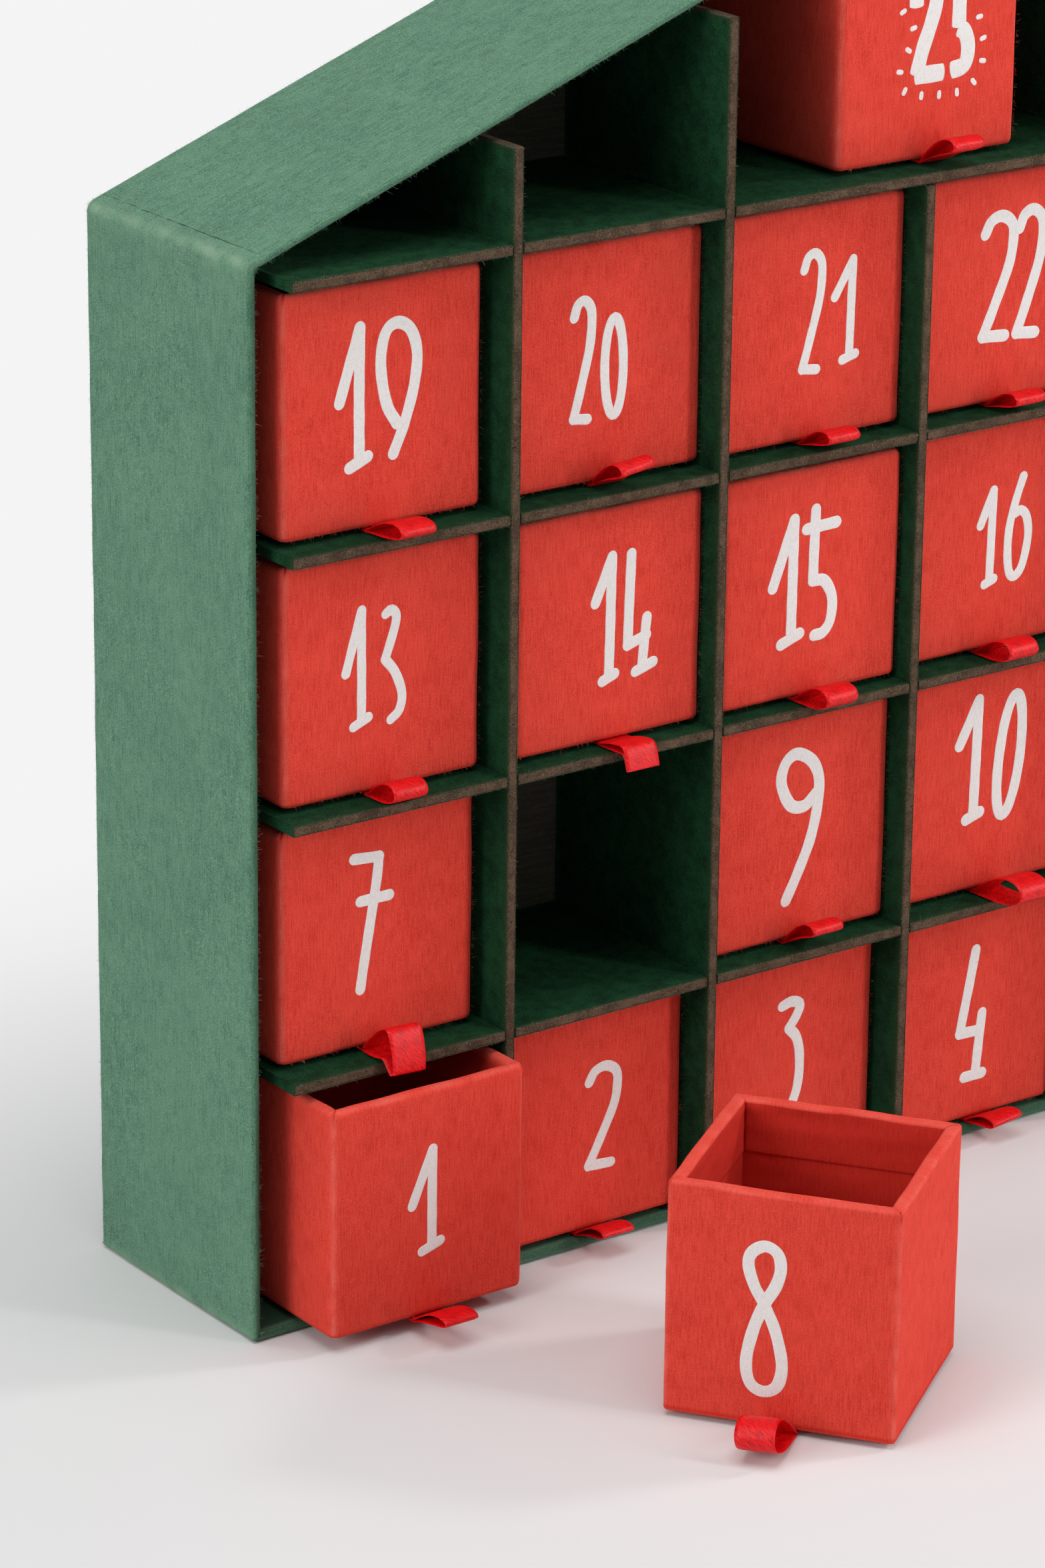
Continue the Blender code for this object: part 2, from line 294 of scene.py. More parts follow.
def redPaper(name, look):
    # Paper with upright ribs, flecks, clouds and a few pale fibres; tone is their weighted sum.
    f = Finish(name)
    width, length = look["ribs"]
    ribs = f.noise(width, 2, 0.6, source=f.uv(), stretch=(1, length, 1))
    clouds = f.noise(0.0045, 4, 0.6)
    patches = f.noise(0.02, 3, 0.6)
    flecks = f.noise(0.00028, 3, 0.7)
    pale = fibreMask(f, 0.00012, 8, threeWays, 0.66, 0.74)
    specks = f.between(f.noise(0.0009, 1, 0.5), 0.74, 0.78)
    tone = f.between(ribs * 0.32 + flecks * 0.44 + clouds * 0.15 + patches * 0.09, 0.36, 0.60)
    # the last coat is painted shade: the dark 'inner' colour inside the drawer and in its creases,
    # with the base sheet's line
    colour = f.coats(look["deep"], (tone, look["colour"]),
                     (f.between(patches, 0.54, 0.72) * 0.12, look["brown"]),
                     (f.between(flecks, 0.62, 0.82) * 0.3, look["pale"]),
                     (pale * 0.45, look["pale"]), (specks * 0.4, look["brown"]),
                     (f.attribute("worn") * 0.5, look["pale"]),
                     (f.attribute("shade"), look["inner"]))
    relief = ribs * 0.55 + flecks * 0.4 + pale * 0.4 + clouds * 0.3
    return f.surface(baseColour=colour, roughness=0.92 - pale * 0.06, specular=0.12,
                     normal=f.bump(relief, look["relief"]))


crateLook = {
    "paint": (0.010, 0.062, 0.024), "paintDeep": (0.003, 0.022, 0.008),
    "paintPale": (0.036, 0.12, 0.055), "worn": (0.030, 0.048, 0.022),
    "core": (0.140, 0.090, 0.058), "coreDeep": (0.056, 0.035, 0.022),
    "pit": (0.012, 0.009, 0.006), "fuzz": (0.30, 0.26, 0.18), "arris": (0.17, 0.155, 0.10),
    "relief": 0.00018,
}


def crateBoard(name, look):
    # Painted faces, worn near the raw front edges, which the attribute 'raw' marks.
    f = Finish(name)
    raw, worn = f.attribute("raw"), f.attribute("worn")
    clouds = f.noise(0.004, 4, 0.6)
    grain = f.noise(0.00032, 4, 0.7)
    pits = f.between(f.noise(0.00055, 2, 0.6), 0.655, 0.72)
    specks = f.between(f.noise(0.0004, 1, 0.5), 0.70, 0.76)
    fibres = fibreMask(f, 0.00015, 7, threeWays, 0.63, 0.73)
    paint = f.coats(look["paintDeep"],
                    (f.between(grain * 0.6 + clouds * 0.4, 0.40, 0.60), look["paint"]),
                    (fibres * 0.6, look["paintPale"]),
                    (f.between(worn + grain * 0.9 - 0.45, 0.3, 1.0) * 0.8, look["worn"]))
    core = f.coats(look["coreDeep"],
                   (f.between(grain * 0.65 + clouds * 0.35, 0.42, 0.60), look["core"]),
                   (specks * 0.7, look["fuzz"]), (pits * 0.9, look["pit"]))
    colour = f.coats(paint, (raw, core),
                     (f.attribute("arris") * f.between(grain, 0.4, 0.56), look["arris"]))
    relief = grain * 0.7 - pits * 1.1 + fibres * 0.3
    return f.surface(baseColour=colour, roughness=0.95 - fibres * 0.05, specular=0.1,
                     normal=f.bump(relief, look["relief"]))


greyBoardLook = {"colour": (0.12, 0.112, 0.088), "deep": (0.07, 0.064, 0.048),
                 "fibre": (0.2, 0.185, 0.15), "relief": 0.00015}


def greyBoard(name, look):
    # Raw board with faint level lines in it.
    f = Finish(name)
    grain = f.noise(0.0004, 4, 0.65)
    lines = f.noise(0.0007, 3, 0.6, stretch=(12, 12, 1))
    fibres = fibreMask(f, 0.00018, 6, otherWays, 0.64, 0.74)
    colour = f.mix(f.between(grain * 0.5 + lines * 0.5, 0.36, 0.64), look["deep"], look["colour"])
    colour = f.mix(fibres * 0.4, colour, look["fibre"])
    return f.surface(baseColour=colour, roughness=0.94 - fibres * 0.04, specular=0.1,
                     normal=f.bump(grain, look["relief"]))


ribbonLook = {
    "colour": (0.82, 0.004, 0.007), "deep": (0.42, 0.001, 0.003), "bright": (0.96, 0.016, 0.018),
    "threadWidth": 0.00022, "threadLength": 12, "lean": -0.8, "relief": 0.00012,
}


def satin(name, look):
    # Threads that slant across the strip: noise on its own length and width, drawn out along them.
    f = Finish(name)
    threads = f.noise(look["threadWidth"], 2, 0.6, source=f.uv(),
                      stretch=(1, look["threadLength"], 1), turn=(0, 0, look["lean"]))
    weave = f.noise(look["threadWidth"] * 1.6, 1, 0.5, source=f.uv())
    colour = f.mix(f.between(threads * 0.7 + weave * 0.3, 0.38, 0.56), look["deep"], look["colour"])
    colour = f.mix(f.between(threads, 0.54, 0.70) * 0.6, colour, look["bright"])
    return f.surface(baseColour=colour, roughness=0.32 + weave * 0.16,
                     normal=f.bump(threads * 0.8 + weave * 0.2, look["relief"]), specular=0.28)


inkLook = {"deep": (0.70, 0.63, 0.61), "colour": (0.80, 0.77, 0.755), "relief": 0.00008}


def whiteInk(name, look):
    # Screen ink in the paper's ribs and grain.
    f = Finish(name)
    grain = f.noise(0.0003, 3, 0.7)
    ribs = f.noise(0.0004, 2, 0.6, source=f.uv(), stretch=(1, 5, 1))
    colour = f.mix(f.between(grain * 0.7 + ribs * 0.3, 0.34, 0.56), look["deep"], look["colour"])
    return f.surface(baseColour=colour, roughness=0.85 - grain * 0.1, specular=0.2,
                     normal=f.bump(grain + ribs, look["relief"]))


def threadFinish(name, colour, pale):
    # Two colours in soft patches.
    f = Finish(name)
    tone = f.between(f.noise(0.003, 2, 0.5), 0.35, 0.65)
    return f.surface(baseColour=f.mix(tone, colour, pale), roughness=0.9, specular=0.1)


greenFinish = greenPaper("green_handmade_paper", greenPaperLook)
redFinish = redPaper("red_handmade_paper", redPaperLook)
crateFinish = crateBoard("crate_board", crateLook)
greyFinish = greyBoard("grey_board", greyBoardLook)
satinFinish = satin("red_satin_ribbon", ribbonLook)
inkFinish = whiteInk("white_ink", inkLook)
# painted shadow: dark cords along the seams stand for the thin shadow at the paper's edge
seamShadowFinish = threadFinish("seam_shadows", (0.008, 0.024, 0.014), (0.03, 0.07, 0.045))
greenThread = threadFinish("green_fibres", (0.13, 0.28, 0.17), (0.34, 0.48, 0.36))
redThread = threadFinish("red_fibres", (0.66, 0.08, 0.05), (0.88, 0.32, 0.24))
boardThread = threadFinish("board_fibres", (0.16, 0.16, 0.1), (0.52, 0.5, 0.38))
print("finishes")

# Mesh helpers: everything is a grid of points worked out as whole arrays


def boxOf(name):
    # The low and the high corner of a CAD node's box.
    return [np.array(corner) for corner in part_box(name)]


def unit(v):
    # Each row divided by its length.
    return v / np.linalg.norm(v, axis=1)[:, None]


def rising(v, size):
    # v / size, held between 0 and 1.
    return np.clip(v / size, 0, 1)


def falling(v, size):
    # 1 - v / size, held between 0 and 1.
    return np.clip(1 - v / size, 0, 1)


def bell(v, size):
    # The exponential of minus the square of v / size.
    return np.exp(-(v / size) ** 2)


def pathLength(path):
    # The distance along a path at each of its points: a running sum of the steps.
    return np.r_[0, np.cumsum(np.linalg.norm(np.diff(path, axis=0), axis=1))]


def pointsAt(path, lengths, at):
    # A flat path's points at the distances at, its own points lying at lengths.
    return np.stack([np.interp(at, lengths, path[:, k]) for k in range(2)], 1)


def hoop(side, other, count):
    # Directions round each point: side * cos + other * sin of count equal turns.
    angle = np.arange(count) * 2 * math.pi / count
    return (side[:, None] * np.cos(angle)[None, :, None]
            + other[:, None] * np.sin(angle)[None, :, None])


def endCaps(rows, columns):
    # Corner numbers of the first and the last row of a grid.
    return [list(range(columns - 1, -1, -1)), [(rows - 1) * columns + k for k in range(columns)]]


def ripple(points, size, seed, waves=14):
    # A smooth random field: a sum of sines in random directions, with wavelengths near size.
    draw = np.random.default_rng(seed)
    way = unit(draw.normal(size=(waves, 3)))
    way *= (2 * math.pi / (size * draw.uniform(0.6, 1.8, waves)))[:, None]
    phase = draw.uniform(0, 2 * math.pi, waves)
    return np.sin(np.asarray(points) @ way.T + phase).sum(-1) / math.sqrt(waves / 2)


def gridQuads(rows, columns, closeRows=False, closeColumns=False):
    # Corner numbers of the quads of a grid of rows x columns points.
    r = np.arange(rows if closeRows else rows - 1)
    c = np.arange(columns if closeColumns else columns - 1)
    r0, c0 = np.meshgrid(r, c, indexing="ij")
    r1, c1 = (r0 + 1) % rows, (c0 + 1) % columns
    r0, r1 = r0 * columns, r1 * columns
    return np.stack([r0 + c0, r0 + c1, r1 + c1, r1 + c0], -1).reshape(-1, 4)


def outwards(points, quads):
    # The same quads, turned over if the closed surface encloses a negative volume.
    a, b, c, d = (points[quads[:, k]] - points.mean(0) for k in range(4))
    volume = (np.cross(a, b) * c).sum() + (np.cross(a, c) * d).sum()
    return quads if volume > 0 else quads[:, ::-1]


class Piece:
    # Collects surfaces, each with a finish, and puts them into one mesh.

    def __init__(self, name):
        self.name, self.parts, self.finishes = name, [], []

    def add(self, points, quads, finish, uv=None, caps=(), around=(0, 0), **marks):
        # around = the flat map's length where the surface closes on itself; 0 where it doesn't.
        points = np.asarray(points, float).reshape(-1, 3)
        quads = outwards(points, quads)
        if finish not in self.finishes:
            self.finishes.append(finish)
        uv = points[:, :2] if uv is None else np.asarray(uv).reshape(-1, 2)
        flat = uv[quads]
        for axis in (0, 1):      # a quad over the closing line goes on past the map's end
            if around[axis]:
                far = flat[..., axis].max(1, keepdims=True) - around[axis] / 2
                flat[..., axis] += around[axis] * (flat[..., axis] < far)
        flat = np.concatenate([flat.reshape(-1, 2)] + [uv[np.asarray(cap)] for cap in caps])
        self.parts.append((points, quads, caps, self.finishes.index(finish), flat,
                           {k: np.broadcast_to(np.asarray(v, float).reshape(-1), (len(points),))
                            for k, v in marks.items()}))

    def tube(self, grid, finish, uv=None, toWorld=np.asarray, **marks):
        # A grid of points closed across its rows, with a face over its first and its last row.
        rows, columns = grid.shape[:2]
        self.add(toWorld(grid.reshape(-1, 3)), gridQuads(rows, columns, closeColumns=True), finish,
                 uv, endCaps(rows, columns), **marks)

    def build(self, body, replaced=()):
        faces, finishOf, smoothOf, start = [], [], [], 0
        for points, quads, caps, finish, _, _ in self.parts:
            faces += (quads + start).tolist() + [(np.asarray(cap) + start).tolist() for cap in caps]
            finishOf += [finish] * (len(quads) + len(caps))
            smoothOf += [True] * len(quads) + [False] * len(caps)
            start += len(points)
        allPoints, uv = (np.concatenate([part[k] for part in self.parts]) for k in (0, 4))
        mesh = bpy.data.meshes.new(self.name)
        mesh.from_pydata(allPoints.tolist(), [], faces)
        mesh.polygons.foreach_set("material_index", finishOf)
        mesh.polygons.foreach_set("use_smooth", smoothOf)
        mesh.uv_layers.new(name="flat").data.foreach_set("uv", uv.astype(np.float32).ravel())
        for mark in sorted({k for part in self.parts for k in part[5]}):
            values = np.concatenate([part[5].get(mark, np.zeros(len(part[0])))
                                     for part in self.parts])
            held = mesh.attributes.new(mark, "FLOAT", "POINT")
            held.data.foreach_set("value", values.astype(np.float32))
        for finish in self.finishes:
            mesh.materials.append(finish)
        mesh.validate()
        made = bpy.data.objects.new(self.name, mesh)
        bpy.context.scene.collection.objects.link(made)
        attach(made, body)
        if replaced:
            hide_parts(*replaced)
        return made


def addFibres(piece, roots, outward, finish, seed, length, width=0.034 * mm, flat=None):
    # Loose fibres: three-sided hairs on a bent line, root + length * (lean * t + bend * t * t).
    # With flat given they lie down in the plane across it. They end at the CAD's own box.
    draw = np.random.default_rng(seed)
    count = len(roots)
    lean = unit(outward + draw.normal(scale=0.75, size=(count, 3)) * (flat is None))
    bend = draw.normal(size=(count, 3)) * (0.45 if flat is None else 0.8)
    if flat is not None:
        bend -= (bend @ flat)[:, None] * flat[None]
    size = draw.uniform(*length, count)
    side = unit(np.cross(lean, draw.normal(size=(count, 3))))
    other = np.cross(lean, side)
    t = np.linspace(0, 1, 3 if flat is None else 6)
    n = len(t)
    line = (roots[:, None] + size[:, None, None] * (lean[:, None] * t[None, :, None]
                                                    + bend[:, None] * (t ** 2)[None, :, None]))
    line = np.clip(line, np.array(cadBounds[0]) + width, np.array(cadBounds[1]) - width)
    taper = (1 - 0.75 * t ** 2) * width / 2
    points = line[:, :, None] + hoop(side, other, 3)[:, None] * taper[None, :, None, None]
    one = gridQuads(n, 3, closeColumns=True)
    base = (np.arange(count) * n * 3)[:, None]
    quads = (one[None] + base[:, None]).reshape(-1, 4)
    caps = np.concatenate([base + np.array(cap) for cap in endCaps(n, 3)])
    piece.add(points, quads, finish, caps=caps.tolist())


def addSeam(piece, path, finish, width=0.16 * mm):
    # Painted shadow where two sheets meet: a thin dark six-sided cord half sunk along the path.
    path = np.asarray(path, float)
    ahead = unit(np.gradient(path, axis=0))
    side = unit(np.cross(ahead, [0.31, 0.42, 0.85]))
    reach = width / 2 * (0.75 + 0.25 * ripple(path, 3 * mm, 12))[:, None, None]
    points = path[:, None] + reach * hoop(side, np.cross(ahead, side), 6)
    piece.tube(np.clip(points, cadBounds[0], cadBounds[1]), finish)


def insetCorners(corners, insets):
    # Corners of an anticlockwise outline moved in by each inset, with n1 and n2 the inward normals
    # of the two sides that meet there: corner + inset * (n1 + n2) / (1 + n1.n2).
    ahead = unit(np.roll(corners, -1, 0) - corners)
    inward = np.stack([-ahead[:, 1], ahead[:, 0]], 1)
    before = np.roll(inward, 1, 0)
    step = (inward + before) / (1 + (inward * before).sum(1))[:, None]
    return corners[None] + np.asarray(insets)[:, None, None] * step[None]


def roundedRing(corners, radii, insets, spacing, arcSteps, near=()):
    # Points round an outline with rounded corners, moved in by each inset, as (inset, station, 2);
    # also each station's distance along the outline, and that from the nearest corner's middle.
    # near = distances along each straight at which more stations stand.
    corners = np.asarray(corners, float)
    insets = np.asarray(insets, float)
    radii, outermost = np.broadcast_to(radii, len(corners)), int(np.argmin(insets))
    centres = np.stack([insetCorners(corners, np.maximum(insets, r))[:, k]
                        for k, r in enumerate(radii)], 1)
    ahead = np.roll(corners, -1, 0) - corners
    heading = np.arctan2(ahead[:, 1], ahead[:, 0]) - math.pi / 2
    rings, along, fromCorner, total = [], [], [], 0
    share = np.linspace(0, 1, arcSteps)
    arcs = []
    for k in range(len(corners)):
        first, last = heading[k - 1], heading[k]
        turn = (last - first + math.pi) % (2 * math.pi) - math.pi
        angle = first + share * turn
        arcRadius = np.maximum(radii[k] - insets, 0)[:, None, None]
        around = np.stack([np.cos(angle), np.sin(angle)], 1)[None]
        arcs.append((centres[:, k, None] + arcRadius * around, abs(turn) * radii[k]))
    for k in range(len(corners)):
        arc, arcLength = arcs[k]
        rings.append(arc)
        along.append(total + share * arcLength)
        fromCorner.append(np.abs(share - 0.5) * arcLength)
        total += arcLength
        nextArc = arcs[(k + 1) % len(corners)][0]
        straight = np.linalg.norm(nextArc[outermost, 0] - arc[outermost, -1])
        t = np.linspace(0, 1, max(3, int(straight / spacing)) + 1)[1:-1]
        if near:
            t = np.unique(np.concatenate([t, np.asarray(near) / straight]))
        rings.append(arc[:, -1:] * (1 - t)[None, :, None] + nextArc[:, :1] * t[None, :, None])
        along.append(total + t * straight)
        fromCorner.append(arcLength / 2 + np.minimum(t, 1 - t) * straight)
        total += straight
    return np.concatenate(rings, 1), np.concatenate(along), np.concatenate(fromCorner)


def boardSection(low, high, front, back, radius, spacing):
    # A board's section, closed: (inset, depth) round a rectangle with rounded corners.
    corners = [(low, front), (high, front), (high, back), (low, back)]
    return roundedRing(corners, radius, [0], spacing, 7)[0][0]


# Case

caseLook = {
    "board": 2.6 * mm, "wrapRadius": 1.28 * mm, "roofRise": 0.36992,
    "cornerRadii": [1.4 * mm, 1.4 * mm, 3.4 * mm, 2 * mm, 3.4 * mm],
    "ridgeRounding": 0.0002,       # what the rounding takes off the ridge's height
    "backPanelFront": 23.05 * mm, "backPanel": 2.6 * mm, "panelReach": 0.3 * mm,
    "faceInset": 0.12 * mm, "wave": 0.12 * mm, "seamFromEave": 4.6 * mm, "fibresPerMetre": 3300,
}
caseLow, caseHigh = boxOf("case")
caseHalf = caseHigh[0]
pitch = math.atan(caseLook["roofRise"])
ridge = caseHigh[2] + caseLook["ridgeRounding"]
eave = ridge - math.tan(pitch) * caseHalf
houseCorners = np.array([(-caseHalf, 0), (caseHalf, 0), (caseHalf, eave), (0, ridge),
                         (-caseHalf, eave)])


def roofUnderside(x, inset):
    # The roof's height at x, moved in by inset at right angles to its slope.
    return eave + (caseHalf - abs(x)) * math.tan(pitch) - inset / math.cos(pitch)


def makeCaseFibres(look, points, insets, depths, toMiddle):
    # Loose fibres along the case's front and outer edges, as a piece of their own.
    near, far = 0.3 * mm, look["board"] - 0.3 * mm
    edges = ((near, caseLow[1] + near), (far, caseLow[1] + near), (near, caseHigh[1] - near))
    edgeRows = [int(np.argmin(np.abs(insets - d) + np.abs(depths - y))) for d, y in edges]
    draw = np.random.default_rng(31)
    roots, outs = [], []
    for row, side in zip(edgeRows, (1, -1, 1)):
        line = points[row]
        length = np.linalg.norm(np.diff(line, axis=0), axis=1).sum()
        at = draw.uniform(0, len(line) - 1, int(length * look["fibresPerMetre"]))
        low = at.astype(int)
        roots.append(line[low] + (line[low + 1] - line[low]) * (at - low)[:, None])
        out = toMiddle[row][low] * side
        out[:, 1] += np.sign(depths[row])
        outs.append(out)
    fibres = Piece("case_fibres")
    addFibres(fibres, np.concatenate(roots), np.concatenate(outs), greenThread, 32,
              (0.2 * mm, 0.9 * mm))
    return fibres.build("case", ())


def addCaseSeams(piece, look):
    # Painted shadow lines where the papers meet: along each eave, on over the front edge in a bend
    # of three points, and at the bottom's front corners.
    depthLine = np.linspace(caseHigh[1] - 1.0 * mm, caseLow[1] + 1.1 * mm, 70)
    slopeway = np.array([math.cos(pitch), math.sin(pitch)])
    into = np.array([math.sin(pitch), -math.cos(pitch)])
    for side in (-1, 1):
        down = look["seamFromEave"] + 0.09 * mm * ripple(np.stack([depthLine] * 3, 1), 9 * mm, 14)
        across = -caseHalf + down * slopeway[0] + 0.16 * mm * into[0]
        up = eave + down * slopeway[1] + 0.16 * mm * into[1]
        line = np.stack([across * -side, depthLine, up], 1)
        turn = np.linspace(0.2, 1, 9)[:, None]
        last = line[-1]
        corner = np.array([(caseHalf - look["board"]) * side, caseLow[1] + 0.12 * mm,
                           eave - 1.8 * mm])
        bulge = np.array([last[0], caseLow[1] + 0.14 * mm, last[2] - 1.0 * mm])
        curl = last * (1 - turn) ** 2 + bulge * 2 * turn * (1 - turn) + corner * turn ** 2
        addSeam(piece, np.concatenate([line, curl]), seamShadowFinish)
        mitre = np.linspace(0.3, 1, 9)[:, None] * np.array([[look["board"], 0, look["board"]]])
        mitre[:, 0] = (caseHalf - mitre[:, 0]) * side
        mitre[:, 1] = caseLow[1] + 0.12 * mm
        addSeam(piece, mitre, seamShadowFinish, 0.12 * mm)


def makeCase(look):
    # The board's section carried round the house outline, its outer face sunk by the paper's waves.
    piece = Piece("wrapped_case")
    section = boardSection(0, look["board"], caseLow[1], caseHigh[1], look["wrapRadius"], 1.6 * mm)
    section = np.roll(section, -int(np.argmax(section[:, 0] - np.abs(section[:, 1]))), 0)
    insets, depths = section[:, 0], section[:, 1]
    ring, along, fromCorner = roundedRing(houseCorners, look["cornerRadii"], insets, 2.2 * mm, 9)
    points = np.empty((len(insets), len(along), 3))
    points[..., 0], points[..., 2] = ring[..., 0], ring[..., 1]
    points[..., 1] = depths[:, None]
    # the paper lies in slow waves, always inside the board's own faces
    toMiddle = np.zeros_like(points)
    outerFace = falling(insets, look["wrapRadius"])
    waves = (ripple(points, 34 * mm, 5) + 0.5 * ripple(points, 9 * mm, 6)) * look["wave"] * 0.5
    waves = np.clip(waves - 0.6 * look["wave"], -2 * look["wave"], 0)
    outermost = ring[int(np.argmin(insets))]
    ahead = unit(np.roll(outermost, -1, 0) - np.roll(outermost, 1, 0))
    toMiddle[..., 0], toMiddle[..., 2] = ahead[None, :, 1], -ahead[None, :, 0]
    lift = (waves - look["faceInset"]) * outerFace[:, None]
    points += toMiddle * lift[..., None]
    # the front and back rims are pulled about a little
    rim = falling(np.abs(np.abs(depths) - caseHigh[1]), 1.2 * mm)[:, None]
    pull = np.clip(ripple(points, 11 * mm, 8) + 0.8, 0, 2.4) * 0.08 * mm
    points[..., 1] -= np.sign(depths)[:, None] * rim * pull
    # painted shade: the inner faces darken going back from the front
    shade = rising(insets - 0.9 * look["board"], 0.1 * look["board"])[:, None] * np.ones(len(along))
    shade *= rising(depths + caseHigh[1] - 0.5 * mm, 2 * mm)[:, None]
    # the folds at the eaves are rubbed pale; painted shade darkens the front edge towards the inside
    worn = bell(fromCorner, 1.9 * mm)[None] * (insets < 1.3 * mm)[:, None] * 0.75
    worn = worn * (0.7 + 0.3 * ripple(points, 7 * mm, 9))
    frontShade = rising(insets + 0.1 * mm, 1.8 * mm)
    frontShade = frontShade * rising(caseLow[1] + 2.0 * mm - depths, 1.2 * mm)
    # the painted shade on the front edge is stronger on the walls than on the roof
    onWall = 0.36 + 0.40 * rising(eave - 1 * mm - points[..., 2], 3 * mm)
    shade = np.maximum(shade, frontShade[:, None] * onWall)
    steps = np.linalg.norm(np.roll(section, -1, 0) - section, axis=1)
    uv = np.stack(np.broadcast_arrays(along[None, :], (np.cumsum(steps) - steps)[:, None]), -1)
    around = (along[-1] + np.linalg.norm(outermost[0] - outermost[-1]), steps.sum())
    quads = gridQuads(len(insets), len(along), True, True)
    piece.add(points, quads, greenFinish, uv, around=around, worn=worn, shade=shade * 0.9)
    makeCaseFibres(look, points, insets, depths, toMiddle)
    addCaseSeams(piece, look)
    return piece.build("case", ["case"])


def makeBackPanel(look):
    # A slab that fills the house outline: x = a * half width, z = low + b * (roof there - low).
    piece = Piece("back_panel")
    low = look["board"] - look["panelReach"]
    a, b = np.linspace(-1, 1, 121), np.linspace(0, 1, 81)
    x = a * (caseHalf - low)
    high = roofUnderside(x, low)
    grid = np.zeros((len(b), len(a), 3))
    grid[..., 0] = x
    grid[..., 2] = low + b[:, None] * (high - low)
    inner, outer = grid.copy(), grid.copy()
    inner[..., 1] = look["backPanelFront"] + 0.05 * mm * ripple(grid, 20 * mm, 3)
    outer[..., 1] = look["backPanelFront"] + look["backPanel"]
    outer[..., 1] += 0.08 * mm * ripple(grid, 30 * mm, 4)
    rows, columns = len(b), len(a)
    loop = np.concatenate([np.arange(columns), np.arange(1, rows) * columns + columns - 1,
                           (rows - 1) * columns + np.arange(columns - 2, -1, -1),
                           np.arange(rows - 2, 0, -1) * columns])
    nextLoop = np.roll(loop, -1)
    size = rows * columns
    front = gridQuads(rows, columns)
    wall = np.stack([loop, nextLoop, nextLoop + size, loop + size], 1)
    points = np.concatenate([inner.reshape(-1, 3), outer.reshape(-1, 3)])
    allQuads = np.concatenate([front[:, ::-1], front + size, wall])
    piece.add(points, allQuads, greenFinish, points[:, [2, 0]])
    made = piece.build("case", ())
    made.data.materials.append(greyFinish)
    centres = np.empty(len(made.data.polygons) * 3, np.float32)
    made.data.polygons.foreach_get("center", centres)
    kinds = (centres.reshape(-1, 3)[:, 1] < look["backPanelFront"] + 0.5 * mm).astype(np.int32)
    made.data.polygons.foreach_set("material_index", kinds)
    return made


makeCase(caseLook)
makeBackPanel(caseLook)
print("case")

# Crate

crateBuild = {"board": 2.5 * mm, "slotClear": 0.35 * mm, "arris": 0.22 * mm, "rough": 0.04 * mm,
              "layers": 11, "fibresPerMetre": 2800}


def latticeBoard(us, vs, filled, layers, thickness):
    # A board on a lattice: every filled cell shows its two faces, and a wall stands wherever a
    # filled cell meets an empty one. Points are (layer, u, v).
    nu, nv = len(us), len(vs)

    def number(layer, i, j):
        return (layer * nu + i) * nv + j

    i, j = np.nonzero(filled)
    quads = [np.stack([number(0, i, j), number(0, i, j + 1), number(0, i + 1, j + 1),
                       number(0, i + 1, j)], 1)]
    top = layers - 1
    quads.append(np.stack([number(top, i, j), number(top, i + 1, j), number(top, i + 1, j + 1),
                           number(top, i, j + 1)], 1))
    padded = np.pad(filled, 1)
    # each side of a cell: the step to its neighbour, then the two corners that it runs between
    for (du, dv), (a, b), (c, d) in (((-1, 0), (0, 0), (0, 1)), ((1, 0), (1, 1), (1, 0)),
                                     ((0, -1), (1, 0), (0, 0)), ((0, 1), (0, 1), (1, 1))):
        i, j = np.nonzero(filled & ~padded[1 + du:nu + du, 1 + dv:nv + dv])
        for k in range(layers - 1):
            quads.append(np.stack([number(k, i + a, j + b), number(k, i + c, j + d),
                                   number(k + 1, i + c, j + d), number(k + 1, i + a, j + b)], 1))
    w = np.linspace(-1, 1, layers)
    grid = np.empty((layers, nu, nv, 3))
    grid[..., 0], grid[..., 1] = us[None, :, None], vs[None, None, :]
    grid[..., 2] = (w * thickness / 2)[:, None, None]
    return grid, np.concatenate(quads), w


def lattice(edges, spacing, fineAt=()):
    # Sorted lines through all the edges, no further apart than spacing, and fine near some.
    lines = set()
    edges = sorted(edges)
    for low, high in zip(edges, edges[1:]):
        for v in np.linspace(low, high, max(1, int(math.ceil((high - low) / spacing))) + 1):
            lines.add(round(float(v), 7))
    for place, steps in fineAt:
        lines.update(round(place + s, 7) for s in steps)
    return np.array(sorted(lines))


